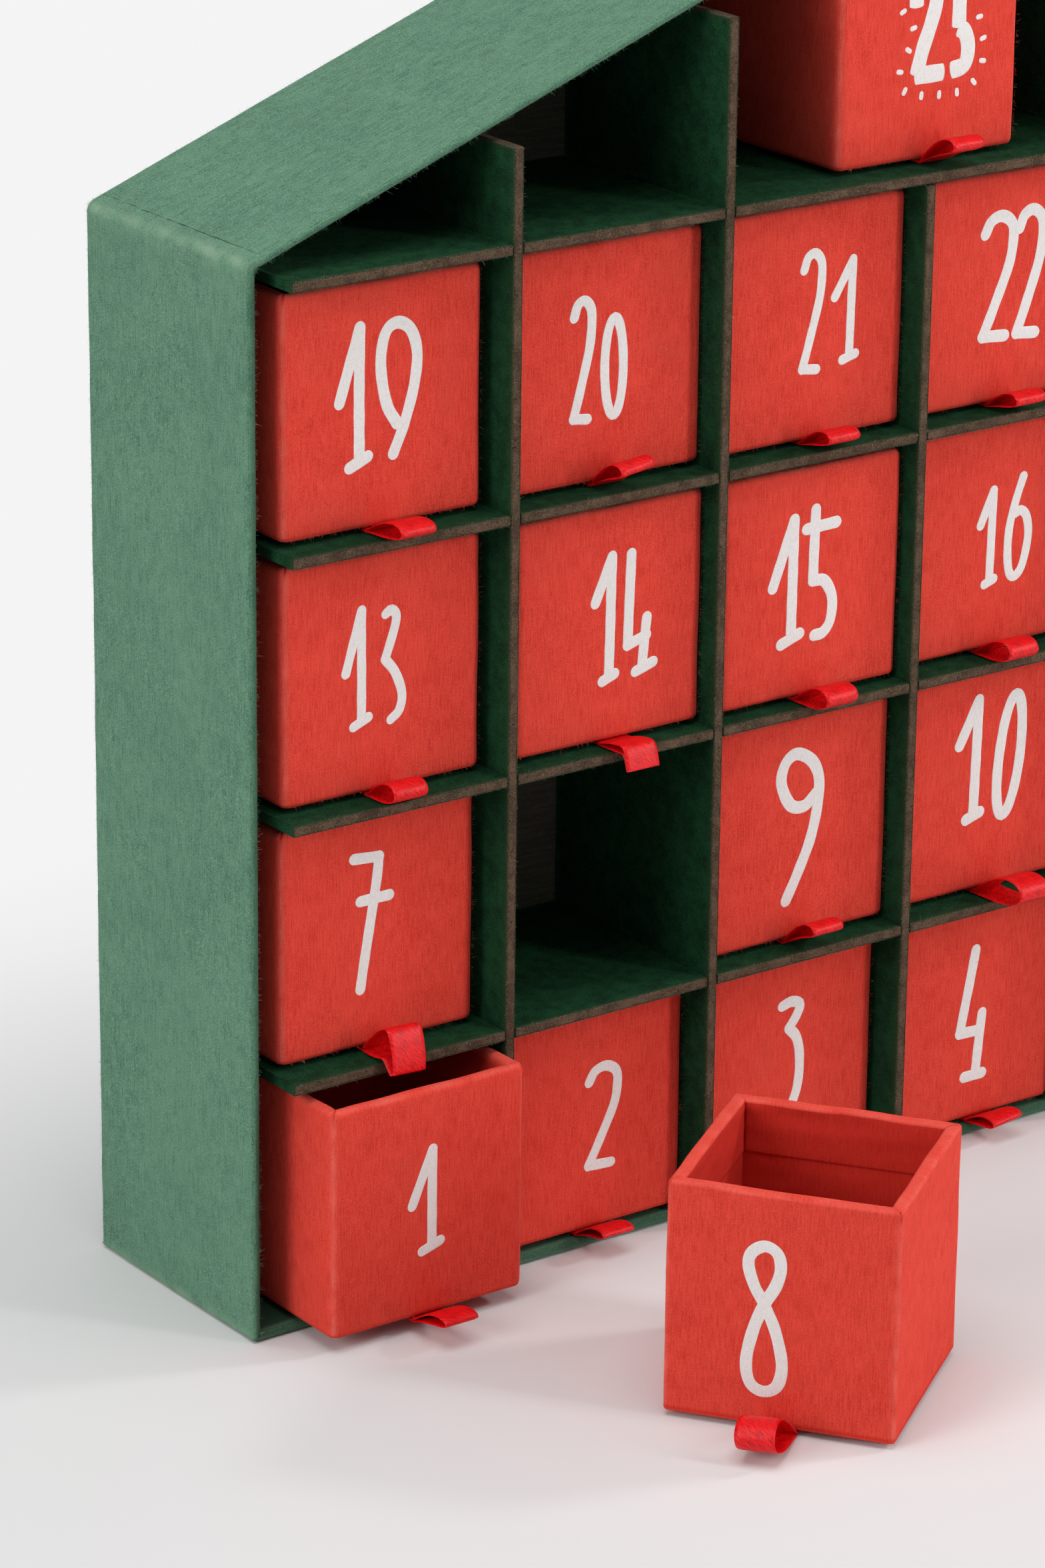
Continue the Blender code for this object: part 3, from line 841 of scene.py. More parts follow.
def makeBoard(name, length, crossings, openFront, place, seed):
    # length = (from, to) along the board; crossings = middles of the boards that it laps, with slots
    # half the depth long, open at the front or at the back. place turns (along, depth, thickness)
    # into x, y, z.
    look = crateBuild
    front, back = (corner[1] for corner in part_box(name))
    middle = (front + back) / 2
    board = look["board"]
    half = board / 2 + look["slotClear"]
    edges = [length[0], length[1]] + [c + s for c in crossings for s in (-half, half)]
    near = (0.12 * mm, 0.3 * mm, 0.6 * mm, 1.0 * mm, 1.6 * mm)
    us = lattice(edges, 1.5 * mm, [(length[1], [-s for s in near])])
    vs = lattice([front, middle, back], 2.2 * mm, [(front, near)])
    uMid, vMid = (us[1:] + us[:-1]) / 2, (vs[1:] + vs[:-1]) / 2
    filled = np.ones((len(uMid), len(vMid)), bool)
    inHalf = vMid < middle if openFront else vMid > middle
    for c in crossings:
        filled &= ~((np.abs(uMid - c) < half)[:, None] & inHalf[None])
    grid, quads, w = latticeBoard(us, vs, filled, look["layers"], board)
    used = np.unique(quads)
    fromFront = grid[..., 1] - front
    rounded = look["arris"] * (1 - (1 - np.abs(w) ** 5) ** 0.2)[:, None, None]
    atFront = fromFront < 1e-6
    wobble = ripple(grid, 5 * mm, seed) * 0.06 * mm
    wobble += ripple(grid, 1.3 * mm, seed + 1) * look["rough"]
    grid[..., 1] += np.where(atFront, rounded + np.clip(wobble + 0.1 * mm, 0, 0.35 * mm), 0)
    fromEnd = length[1] - grid[..., 0]
    atEnd = fromEnd < 1e-6
    grid[..., 0] -= np.where(atEnd, rounded + np.clip(wobble + 0.05 * mm, 0, 0.3 * mm), 0)
    nearEdge = np.maximum(falling(fromFront, 0.5 * mm), falling(fromEnd, 0.5 * mm))
    grid[..., 2] -= np.sign(grid[..., 2]) * nearEdge ** 2 * 0.08 * mm
    tall = not openFront
    fromMiddle = np.abs(w)[:, None, None]
    raw = np.where(atFront | (atEnd & tall), np.clip((1 - fromMiddle) * 8, 0, 1), 0.0)
    worn = falling(fromFront, 4.5 * mm) ** 1.5
    worn = np.maximum(worn, np.where(tall, falling(fromEnd, 2.5 * mm), 0))
    nearArris = np.maximum(falling(fromFront, 0.4 * mm), tall * falling(fromEnd, 0.4 * mm))
    arris = np.where(fromMiddle > 0.9, nearArris, 0.0)
    renumber = np.zeros(grid[..., 0].size, int)
    renumber[used] = np.arange(len(used))
    flat = grid.reshape(-1, 3)[used]
    raw, worn, arris = (np.broadcast_to(mark, grid.shape[:3]).reshape(-1)[used]
                        for mark in (raw, worn, arris))
    piece = Piece(name + "_board")
    piece.add(place(flat), renumber[quads], crateFinish, flat[:, :2], raw=raw, worn=worn,
              arris=arris)
    draw = np.random.default_rng(seed + 7)
    count = int((length[1] - length[0]) * look["fibresPerMetre"])
    u = draw.uniform(*length, count)
    keep = np.ones(count, bool)
    if openFront:
        for c in crossings:
            keep &= np.abs(u - c) > half
    side = draw.choice([-1, 1], count)
    depth = np.full(count, front + 0.25 * mm)
    local = np.stack([u, depth, side * (board / 2 - 0.1 * mm)], 1)[keep]
    out = np.stack([np.zeros(count), np.full(count, -1.0), side * 0.8], 1)[keep]
    zero = place(np.zeros((1, 3)))
    addFibres(piece, place(local), place(out) - zero, boardThread, seed + 8, (0.15 * mm, 0.7 * mm))
    return piece.build("case", [name])


dividerNames = ["divider_%d" % n for n in range(1, 6)]
shelfNames = ["shelf_1", "shelf_2", "shelf_3", "attic_shelf"]
dividerPlaces = [sum(corner[0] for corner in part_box(name)) / 2 for name in dividerNames]
shelfHeights = [sum(corner[2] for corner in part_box(name)) / 2 for name in shelfNames]


def makeCrate():
    # Dividers run along z at their x, shelves along x at their z; each laps the other kind.
    for number, (name, x) in enumerate(zip(dividerNames, dividerPlaces), 1):
        low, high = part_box(name)
        crossings = [z for z in shelfHeights if z < high[2]]
        makeBoard(name, (low[2], high[2]), crossings, False,
                  lambda p, x=x: np.stack([p[:, 2] + x, p[:, 1], p[:, 0]], 1), 40 + 10 * number)
    for number, (name, z) in enumerate(zip(shelfNames, shelfHeights), 1):
        low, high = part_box(name)
        crossings = [x for n, x in zip(dividerNames, dividerPlaces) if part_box(n)[1][2] > z]
        makeBoard(name, (low[0], high[0]), crossings, True,
                  lambda p, z=z: np.stack([p[:, 0], p[:, 1], p[:, 2] + z], 1), 140 + 10 * number)


makeCrate()
print("crate")

# Numbers: strokes of one width; every shape fills a box 1 wide and 1 high

strokeShapes = {
    "0": [("oval", 0.0)], "0 leaning": [("oval", 0.22)],
    "1": [("line", (0, 0.48), (0.72, 1), (0.70, 0.05)), ("line", (0.36, 0), (1, 0.06))],
    "1 steep": [("line", (0, 0.65), (0.8, 1), (0.72, 0.04)), ("line", (0.42, 0), (1, 0.04))],
    "2": [("curve", (0, 0.87), (0.2, 0.97), (0.58, 1), (0.93, 0.93), (1, 0.8), (0.88, 0.58),
           (0.4, 0.25), (0.02, 0.02)), ("line", (0.02, 0.02), (0.8, 0))],
    "3": [("curve", (0.05, 0.97), (0.35, 1), (0.62, 0.96), (0.66, 0.9), (0.45, 0.77), (0, 0.56)),
          ("curve", (0, 0.56), (0.6, 0.42), (1, 0.22), (0.85, 0.07), (0.35, 0))],
    "3 wide": [("curve", (0, 0.98), (0.5, 1), (0.93, 0.96), (0.75, 0.87), (0.37, 0.78)),
               ("curve", (0.37, 0.78), (0.8, 0.68), (1, 0.5), (0.9, 0.25), (0.3, 0))],
    "4": [("line", (0.09, 1), (0, 0.24), (0.72, 0.29)), ("line", (0.73, 0.44), (0.58, 0.04)),
          ("line", (0.34, 0), (1, 0.05))],
    "4 slanted": [("line", (0.57, 1), (0.05, 0.36), (0.87, 0.35)),
                  ("line", (0.94, 0.48), (0.73, 0.01)), ("line", (0.3, 0), (1, 0))],
    "5": [("line", (0.29, 1), (0.26, 0.45)),
          ("curve", (0.26, 0.44), (0.65, 0.42), (0.93, 0.28), (0.9, 0.1), (0.66, 0.01), (0.36, 0)),
          ("line", (0, 0.86), (1, 0.87))],
    "6": [("curve", (0.65, 1), (0.3, 0.75), (0.05, 0.5), (0, 0.25), (0.12, 0.05), (0.4, 0),
           (0.75, 0.1), (1, 0.38), (0.9, 0.58), (0.6, 0.66), (0.3, 0.64))],
    "7": [("line", (0, 1), (0.71, 0.98)),
          ("curve", (0.71, 0.98), (0.64, 0.8), (0.38, 0.36), (0.18, 0)),
          ("line", (0.18, 0.67), (1, 0.67))],
    "8": [("ring", (0.46, 1), (0.1, 0.95), (0, 0.86), (0.18, 0.72), (0.47, 0.6), (0.8, 0.42),
           (1, 0.2), (0.88, 0.05), (0.5, 0), (0.12, 0.05), (0, 0.2), (0.18, 0.42), (0.47, 0.6),
           (0.78, 0.74), (0.9, 0.86), (0.8, 0.96))],
    "9": [("curve", (0.92, 0.70), (0.62, 0.63), (0.25, 0.66), (0, 0.82), (0.1, 0.95), (0.4, 1),
           (0.8, 0.93), (1, 0.8), (0.97, 0.6), (0.8, 0.38), (0.5, 0.17), (0.2, 0))],
    "9 narrow": [("curve", (0.44, 0.23), (0.15, 0.4), (0, 0.7), (0.12, 0.93), (0.45, 1),
                  (0.82, 0.93), (1, 0.75), (0.92, 0.5), (0.65, 0.22), (0.35, 0))],
    "2 bold": [("curve", (0, 0.68), (0.01, 0.86), (0.22, 1), (0.5, 0.98), (0.68, 0.86),
                (0.66, 0.7), (0.5, 0.5), (0.25, 0.26), (0.06, 0)), ("line", (0, 0), (1, 0))],
    "5 bold": [("line", (1, 1), (0.42, 1)), ("line", (0.42, 1), (0.42, 0.42)),
               ("curve", (0.42, 0.42), (0.8, 0.36), (1, 0.2), (0.8, 0.04), (0, 0))],
}
# each drawer's stroke width, and its digits as (shape, left, bottom, right, top), in mm from the
# middle of its front's bottom edge
numberPlaces = {
    1: (2.8, [("1", -4.9, 16.8, 3.1, 42.4)]),
    2: (2.8, [("2", -1.1, 16.3, 7.6, 42.4)]),
    3: (3.0, [("3 wide", -1.6, 14, 4.4, 46)]),
    4: (3.2, [("4 slanted", -4.1, 11.7, 4.1, 46.4)]),
    5: (3.0, [("5", -4.5, 15, 4.5, 46)]),
    6: (3.0, [("6", -4, 15.5, 4, 45.5)]),
    7: (2.9, [("7", -6.9, 14.7, 3, 47.7)]),
    8: (3.0, [("8", -7.9, 8.7, 0.6, 45)]),
    9: (3.4, [("9", -6.4, 10.4, 5.4, 48.4)]),
    10: (3.3, [("1 steep", -8.7, 19.3, -1.3, 50.7), ("0 leaning", 4.1, 18.3, 11.9, 50)]),
    11: (2.9, [("1 steep", -8.5, 15.5, -2.5, 45.5), ("1", 2, 15.8, 8.5, 45)]),
    12: (2.9, [("1", -10.5, 15.5, -4, 45), ("2", 0.5, 16, 8.5, 46)]),
    13: (2.6, [("1", -10.6, 16.8, -4.4, 44.6), ("3", 0.4, 16.7, 5.1, 43.4)]),
    14: (3.0, [("1 steep", -4.3, 15.1, 1.6, 45.7), ("4", 5.4, 15.7, 13.1, 45.4)]),
    15: (3.2, [("1", -12, 14.3, -3.4, 45.4), ("5", -1.9, 14.9, 7.1, 46.9)]),
    16: (2.7, [("1 steep", -4.4, 16.9, 0.4, 41), ("6", 4.7, 17.4, 11.3, 43.1)]),
    17: (2.9, [("1 steep", -9, 15.5, -3.5, 44.5), ("7", 0, 15, 9.5, 46)]),
    18: (3.0, [("1", -10, 15.3, -3.5, 45.5), ("8", 1, 14.5, 9, 46.5)]),
    19: (3.1, [("1", -12, 15.1, -4.4, 47.6), ("9 narrow", -0.7, 16.6, 9.3, 47.3)]),
    20: (2.7, [("2", -10.1, 15.7, -5, 44.4), ("0", -1, 15.5, 4.4, 39.1)]),
    21: (2.6, [("2", -3.6, 17.3, 1.9, 46.1), ("1 steep", 6.1, 18.4, 12.7, 42.9)]),
    22: (3.2, [("2", -7, 16.6, 2, 47), ("2", 3.9, 16, 11.5, 47.3)]),
    23: (3.0, [("2", -9, 16, -1, 46), ("3", 3, 16, 9, 45)]),
    24: (3.0, [("2", -10, 16, -2, 46), ("4", 2, 15.5, 10, 45.5)]),
    25: (4.5, [("2 bold", -4.6, 20.6, 4.6, 45), ("5 bold", 6.5, 20.6, 11.9, 45)]),
}
inkProud, inkStep = 0.03 * mm, 0.004 * mm
# the dashes round 25 stand along this outline, mm as above
dashOutline = [(-8.8, 18.4), (-4.8, 16.1), (0.5, 15.4), (5, 15.1), (9.6, 15.2), (14, 17),
               (16.4, 21), (16.8, 26), (15.3, 31.5), (14.8, 37), (15.2, 43), (13.4, 48),
               (8.5, 50.4), (2, 50.8), (-4, 50.4), (-8.4, 47), (-9.8, 41.5), (-8.4, 36),
               (-5.6, 33), (-5.4, 29.6), (-7.4, 26), (-9.2, 22)]
dashSize = (2.2, 1.3, 20)          # length and width in mm, and how many


def smoothPath(stops, closed=False, steps=12):
    # A path through the stops: a cubic between each two, whose slope at a stop is half the way from
    # the stop before it to the one after.
    p = np.array(stops, float)
    if closed:
        p = p[np.arange(-1, len(p) + 2) % len(p)]
    else:
        p = np.concatenate([[2 * p[0] - p[1]], p, [2 * p[-1] - p[-2]]])
    t = (np.arange(steps) / steps)[None, :, None]
    a, b, c, d = (p[k:len(p) - 3 + k, None] for k in range(4))
    bent = (2 * a - 5 * b + 4 * c - d) * t ** 2 + (3 * b - a - 3 * c + d) * t ** 3
    path = 0.5 * (2 * b + (c - a) * t + bent)
    return np.concatenate([path.reshape(-1, 2), p[-2:-1]])


def strokePaths(kind, *stops):
    # Paths, each with whether it is closed. A line turns sharply, so each leg is its own stroke.
    if kind == "oval":
        lean, turn = stops[0], np.linspace(0, 2 * math.pi, 61)
        across = math.sqrt(0.25 - lean ** 2)
        x = 0.5 + across * np.sin(turn) + lean * np.cos(turn)
        return [(np.stack([x, 0.5 + 0.5 * np.cos(turn)], 1), True)]
    if kind == "line":
        return [(np.array(leg, float), False) for leg in zip(stops, stops[1:])]
    return [(smoothPath(stops, kind == "ring"), kind == "ring")]


def strokeMesh(path, width, closed, roundness, step):
    # A stroke, as wide as w at each distance along it, with a half circle or a flatter arc at each
    # end. Its height falls at its sides, and changes a little along it and with the step, so no two
    # tops lie in one plane.
    half = width / 2
    if not closed:
        reach = half * (1 if roundness == 1 else 0.05)
        first, last = path[0] - path[1], path[-1] - path[-2]
        path = np.concatenate([[path[0] + first / np.linalg.norm(first) * reach], path,
                               [path[-1] + last / np.linalg.norm(last) * reach]])
    s = pathLength(path)
    total, tip = s[-1], half * roundness
    if closed:
        at = np.linspace(0, total, max(40, int(total / (0.6 * mm))), endpoint=False)
    else:
        end = tip * (1 - np.cos(np.linspace(0, math.pi / 2, 7)))
        inner = np.linspace(tip, total - tip, max(4, int((total - 2 * tip) / (0.6 * mm))))[1:-1]
        at = np.concatenate([end, inner, (total - end)[::-1]])
    line = pointsAt(path, s, at)
    if closed:
        ahead = np.roll(line, -1, 0) - np.roll(line, 1, 0)
    else:
        ahead = np.gradient(line, at, axis=0)
    ahead = unit(ahead)
    sideways = np.stack([-ahead[:, 1], ahead[:, 0]], 1)
    heading = np.unwrap(np.arctan2(ahead[:, 1], ahead[:, 0]))
    bend = np.gradient(heading, at)
    if closed:
        w = np.full(len(at), half)
        height = inkProud + inkStep * (step + 4 * np.sin(2 * math.pi * at / total))
    else:
        edge = falling(np.minimum(at, total - at), tip)
        w = half * np.sqrt(np.clip(1 - edge ** 2, 2e-3, 1))
        height = inkProud + inkStep * (step + at / total)
    w = w * (1 + 0.02 * np.sin(at * 900 + total * 5000))
    v = np.array([-1, -0.94, -0.75, 0, 0.75, 0.94, 1.0])
    room = 0.92 / np.maximum(np.abs(bend), 1e-6)
    inner = np.where(bend[:, None] * v[None] > 0, np.minimum(w, room)[:, None], w[:, None])
    flat = line[:, None] + sideways[:, None] * (inner * v[None])[..., None]
    rise = height[:, None] * np.array([-1.0, 0.6, 1, 1, 1, 0.6, -1.0])[None]
    top = np.concatenate([flat, rise[..., None]], 2)
    bottom = top[:, ::-1][:, 1:-1].copy()
    bottom[..., 2] = -0.2 * mm
    return np.concatenate([top, bottom], 1)


def addStroke(piece, path, width, closed, onPaper, roundness=1.0, step=0):
    # One stroke laid on the paper; an open one has a face at each end.
    points = strokeMesh(path, width, closed, roundness, step)
    rows, columns = points.shape[:2]
    caps = [] if closed else [cap[::-1] for cap in endCaps(rows, columns)]
    piece.add(onPaper(points.reshape(-1, 3)), gridQuads(rows, columns, closed, True), inkFinish,
              points[..., :2], caps=caps)


def addNumber(piece, number, onPaper):
    # Each digit's shape stretched to its box: corner + point * size. 25 has its ring of dashes too.
    width, digits = numberPlaces[number]
    roundness, step = (0.3 if width > 4 else 1.0), 0
    for shape, left, bottom, right, top in digits:
        corner, size = np.array([left, bottom]), np.array([right - left, top - bottom])
        for stroke in strokeShapes[shape]:
            for path, closed in strokePaths(*stroke):
                addStroke(piece, (corner + path * size) * mm, width * mm, closed, onPaper,
                          roundness, step)
                step += 2
    if number == 25:
        outline = smoothPath(dashOutline, True)
        s = pathLength(outline)
        length, width, count = dashSize
        at = (np.arange(count) + 0.3) * s[-1] / count
        spot = pointsAt(outline, s, at)
        ahead = unit(pointsAt(outline, s, at + 0.4) - spot)
        out = np.stack([ahead[:, 1], -ahead[:, 0]], 1) * (length - width) / 2
        for one, way in zip(spot, out):
            addStroke(piece, np.stack([one - way, one + way]) * mm, width * mm, False, onPaper)


# Drawers

drawerBuild = {
    "width": 55.5 * mm, "depth": 55 * mm, "height": 58 * mm, "wall": 3.4 * mm,
    "cornerRadii": [2.0 * mm, 2.0 * mm, 2.6 * mm, 2.2 * mm],
    "rimRadius": 1.5 * mm, "footRadius": 1.5 * mm, "spacing": 2.2 * mm,
    "turnIn": 13.5 * mm, "baseSheet": 0.9 * mm, "wave": 0.11 * mm, "crease": 0.5 * mm,
    "fibres": 420, "hairs": 14,
    "straight": 50 * mm,           # the flat run between two corners, for the finer stations
    "wallRow": 20,                 # a row of the section that lies on the flat outer wall
    "looseDrawer": 8, "looseTurn": math.radians(-54.3),
}


def drawerFrame(number):
    # A drawer's own frame: the middle of its front bottom edge, and its turn.
    low, high = boxOf("drawer_%02d" % number)
    look = drawerBuild
    turn = look["looseTurn"] if number == look["looseDrawer"] else 0
    centre = (low + high) / 2
    back = np.array([-math.sin(turn), math.cos(turn), 0])
    origin = centre - back * look["depth"] / 2
    origin[2] = low[2]
    side = np.array([math.cos(turn), math.sin(turn), 0])
    axes = np.stack([side, back, [0, 0, 1]])
    return lambda p: np.asarray(p) @ axes + origin


def paperSag(own):
    # How far the paper lies inside the drawer's flat faces.
    field = ripple(own, 30 * mm, 70) * 0.55 + ripple(own, 11 * mm, 71) * 0.16 + 0.8
    return np.clip(field, 0.1, 2) * drawerBuild["wave"]


def drawerSection(look, fine):
    # A wall's section as (inset, height): from under the base, up the outside, over the rim, down
    # and across the inside; also the radii of its foot and rim, and the height where the turned-in
    # paper ends.
    w, h, wall = look["width"], look["height"], look["wall"]
    arc = np.linspace(0, math.pi / 2, 7)
    foot, rim = (look[k] * (0.62 if fine else 1) for k in ("footRadius", "rimRadius"))
    step = 1.0 * mm if fine else 2.4 * mm
    turnIn = h - look["turnIn"]
    under = [(v, 0) for v in np.linspace(w / 2 * 0.98, foot, 9)]
    footArc = [(foot - foot * math.sin(a), foot - foot * math.cos(a)) for a in arc[1:]]
    wallOut = [(0, z) for z in np.arange(foot + 1 * mm, h - rim, step)]
    rimOut = [(rim - rim * math.cos(a), h - rim + rim * math.sin(a)) for a in arc]
    if fine:
        rimOut += [(v, h) for v in np.linspace(rim, wall - rim, 4)[1:-1]]
    rimIn = [(wall - rim + rim * math.sin(a), h - rim + rim * math.cos(a)) for a in arc]
    down = np.arange(h - rim - 1 * mm, wall + 1.5 * mm, -step)
    down = np.sort(np.r_[down, turnIn, turnIn - 0.06 * mm, turnIn - 0.35 * mm])[::-1]
    wallIn = [(wall, z) for z in down]
    floorAt = np.linspace(wall + 2 * mm, w / 2 * 0.98, 9)
    floorIn = [(v, wall) for v in np.r_[wall + 0.1 * mm, wall + 0.5 * mm, floorAt]]
    section = np.array(under + footArc + wallOut + rimOut + rimIn + wallIn + floorIn)
    return section, foot, rim, turnIn


def addDrawerFibres(piece, number, toWorld, own, fine):
    # Loose fibres along the front's edges, and a few long hairs that lie on the paper.
    look = drawerBuild
    w, h = look["width"], look["height"]
    draw = np.random.default_rng(900 + number)
    outline = np.array([(-w / 2, 0), (-w / 2, h), (w / 2, h), (w / 2, 0)])
    count = look["fibres"] * (2 if fine else 1)
    edge = draw.choice(4, count, p=np.array([h, w, h, w]) / (2 * h + 2 * w))
    t = draw.uniform(0.02, 0.98, count)[:, None]
    start, end = outline[edge], np.roll(outline, -1, 0)[edge]
    smaller = np.array([1 - 1.0 * mm / w, 1 - 0.6 * mm / h])
    at = (start + (end - start) * t) * smaller + np.array([0, 0.3 * mm])
    outward = unit(at - np.array([0, h / 2]))
    roots = np.stack([at[:, 0], np.full(count, 0.5 * mm), at[:, 1]], 1)
    ways = np.stack([outward[:, 0], np.full(count, -0.7), outward[:, 1]], 1)
    zero = toWorld(np.zeros((1, 3)))
    addFibres(piece, toWorld(roots), toWorld(ways) - zero, redThread, 950 + number,
              (0.2 * mm, 0.9 * mm))
    hairs = look["hairs"]
    spots = np.stack([draw.uniform(-w / 2, w / 2, hairs) * 0.92, np.zeros(hairs),
                      draw.uniform(0.05, 0.97, hairs) * h], 1)
    spots[:, 1] = paperSag(spots + own) - 0.01 * mm
    turn = draw.uniform(0, 2 * math.pi, hairs)
    ways = np.stack([np.cos(turn), np.full(hairs, -0.02), np.sin(turn)], 1)
    addFibres(piece, toWorld(spots), toWorld(ways) - zero, redThread, 990 + number,
              (1.2 * mm, 3.2 * mm), 0.05 * mm, flat=toWorld([[0, 1, 0]])[0] - zero[0])


def makeDrawer(number):
    # The section carried round the drawer's outline, then pushed in and out by the paper's folds.
    look = drawerBuild
    fine = number == look["looseDrawer"]
    toWorld = drawerFrame(number)
    w, d, h, wall = look["width"], look["depth"], look["height"], look["wall"]
    own = np.array([number * 0.21, number * 0.13, 0])
    corners = np.array([(w / 2, d), (-w / 2, d), (-w / 2, 0), (w / 2, 0)])
    radii = np.array(look["cornerRadii"]) * (0.45 if fine else 1)
    section, foot, rim, turnIn = drawerSection(look, fine)
    insets, heights = section[:, 0], section[:, 1]
    fineCorner = [0.25 * mm, 0.6 * mm, 1.1 * mm] if fine else [0.5 * mm]
    near = fineCorner + [look["straight"] - v for v in fineCorner]
    spacing = look["spacing"] * (0.5 if fine else 1)
    ring, along, fromCorner = roundedRing(corners, radii, np.maximum(insets, 0), spacing, 9, near)
    outermost = ring[look["wallRow"]]
    grid = np.empty(ring.shape[:2] + (3,))
    grid[..., :2] = ring
    grid[..., 2] = heights[:, None]
    ahead = np.roll(outermost, -1, 0) - np.roll(outermost, 1, 0)
    ahead /= np.maximum(np.linalg.norm(ahead, axis=1), 1e-12)[:, None]
    inward = np.stack([-ahead[:, 1], ahead[:, 0]], 1)
    there = grid + own
    isWall = (heights > 0.3 * foot) & (insets < wall + 0.05 * mm)
    inside = (insets > wall - 0.05 * mm) & (heights < h - rim)
    push = paperSag(there) * isWall[:, None] * np.where(inside, -1, 1)[:, None]
    # the paper turned in at the top ends in a step on the inner walls
    above = inside & (heights >= turnIn)
    push += np.where(above, 0.2 * mm, 0)[:, None]
    below = inside & (heights < turnIn - 0.2 * mm)
    push -= below[:, None] * 0.05 * mm * np.abs(ripple(there, 9 * mm, 73))
    # at each corner the turned-in paper is folded: a crease from the outer corner to the inner one,
    # and low pleats beside it that run down the inside
    onRim = rising(heights - (h - 3.5 * mm), 2.2 * mm)
    fold = bell(fromCorner - 0.1 * mm, 0.3 * mm)[None] * onRim[:, None]
    pleat = bell(fromCorner - 2.2 * mm, 0.5 * mm) + 0.6 * bell(fromCorner - 4.4 * mm, 0.6 * mm)
    push += inside[:, None] * 0.1 * mm * ripple(there * np.array([0.4, 0.4, 2]), 12 * mm, 74)
    push += (inside * rising(heights - turnIn, 6 * mm))[:, None] * pleat[None] * 0.16 * mm
    grid[..., :2] += inward[None] * push[..., None]
    grid[..., 2] -= look["crease"] * fold + 0.1 * mm * onRim[:, None] * pleat[None]
    dip = np.clip(ripple(there, 14 * mm, 72) * 0.7 + 0.8, 0, 2.2)
    grid[..., 2] -= onRim[:, None] * dip * 0.12 * mm
    # the base sheet's line, the rubbed upright folds and rim, and painted shade inside
    cut = bell(heights - look["baseSheet"], 0.16 * mm) * (insets < foot) * (heights > 0)
    worn = bell(fromCorner, 0.75 * mm)[None] * (0.7 * (isWall & (insets < 0.2 * mm)))[:, None]
    rimWorn = bell(heights - h + 0.3 * mm, 0.5 * mm) * (insets < wall)
    worn = np.maximum(worn, 0.5 * rimWorn[:, None]) * (0.75 + 0.25 * ripple(there, 6 * mm, 75))
    # painted shade: darker inside the drawer and along the corner creases; the base sheet's line too
    shade = np.where(inside | (insets > wall), 0.55, 0.0)[:, None] + 0.6 * cut[:, None] + 0.7 * fold
    uv = np.stack(np.broadcast_arrays(along[None], pathLength(section)[:, None]), -1)
    uv += number * 0.07
    piece = Piece("drawer_%02d_box" % number)
    around = (along[-1] + np.linalg.norm(outermost[0] - outermost[-1]), 0)
    piece.tube(grid, redFinish, uv, toWorld, around=around, worn=np.clip(worn, 0, 1), shade=shade)

    def onPaper(p):
        # (across, up, proud) put on the front's own uneven paper
        flat = np.stack([p[:, 0], np.zeros(len(p)), p[:, 1]], 1)
        flat[:, 1] = paperSag(flat + own) - p[:, 2]
        return toWorld(flat)

    addNumber(piece, number, onPaper)
    addDrawerFibres(piece, number, toWorld, own, fine)
    return piece.build("drawer_%02d_and_pull" % number, ["drawer_%02d" % number])


for drawerNumber in range(1, 26):
    makeDrawer(drawerNumber)
print("drawers")

# Ribbon pulls

loopForms = {              # reach, opening, rise, drop in mm, as the CAD loops have
    "plump": (13, 4.6, 3.1, 0), "long": (14.8, 4, 2.7, 0), "short": (11, 4.2, 2.9, 0),
    "wide": (18.5, 6.2, 4.3, 0), "lifted": (11.2, 3, 3.6, 0), "steep": (11.8, 3, 6.3, 0),
    "slim": (13.3, 3.4, 3.9, 0), "drooping": (11.1, 1.5, 1.1, 4.8),
    "hanging": (12.5, 6.6, 4.6, 6.8), "raised": (12.4, 3.2, 6, 0), "resting": (19, 8.3, 5.8, 0),
}
formOf = {1: "slim", 2: "lifted", 3: "lifted", 4: "short", 5: "slim", 6: "short", 7: "hanging",
          8: "resting", 9: "steep", 10: "wide", 11: "lifted", 12: "plump", 13: "short",
          14: "drooping", 15: "plump", 16: "plump", 17: "long", 18: "short", 19: "long",
          20: "steep", 21: "lifted", 22: "lifted", 23: "plump", 24: "long", 25: "raised"}
ribbonBuild = {
    "width": 9.5 * mm, "thickness": 0.35 * mm, "tail": 12 * mm, "ledge": 8.7 * mm,
    "below": 0.65 * mm,            # from the drawer's bottom down to the middle of the doubled tail
    "openings": {1: 0.6, 2: 0.6, 3: 0.6, 4: 0.5, 8: 0.85, 19: 0.8}, "reaches": {19: 0.95},
    "leans": {4: -0.8, 7: -3.0, 8: 2.5, 14: 0.5}, "tilts": {4: 0.12, 7: -0.05, 8: 0.05, 20: 0.14},
}


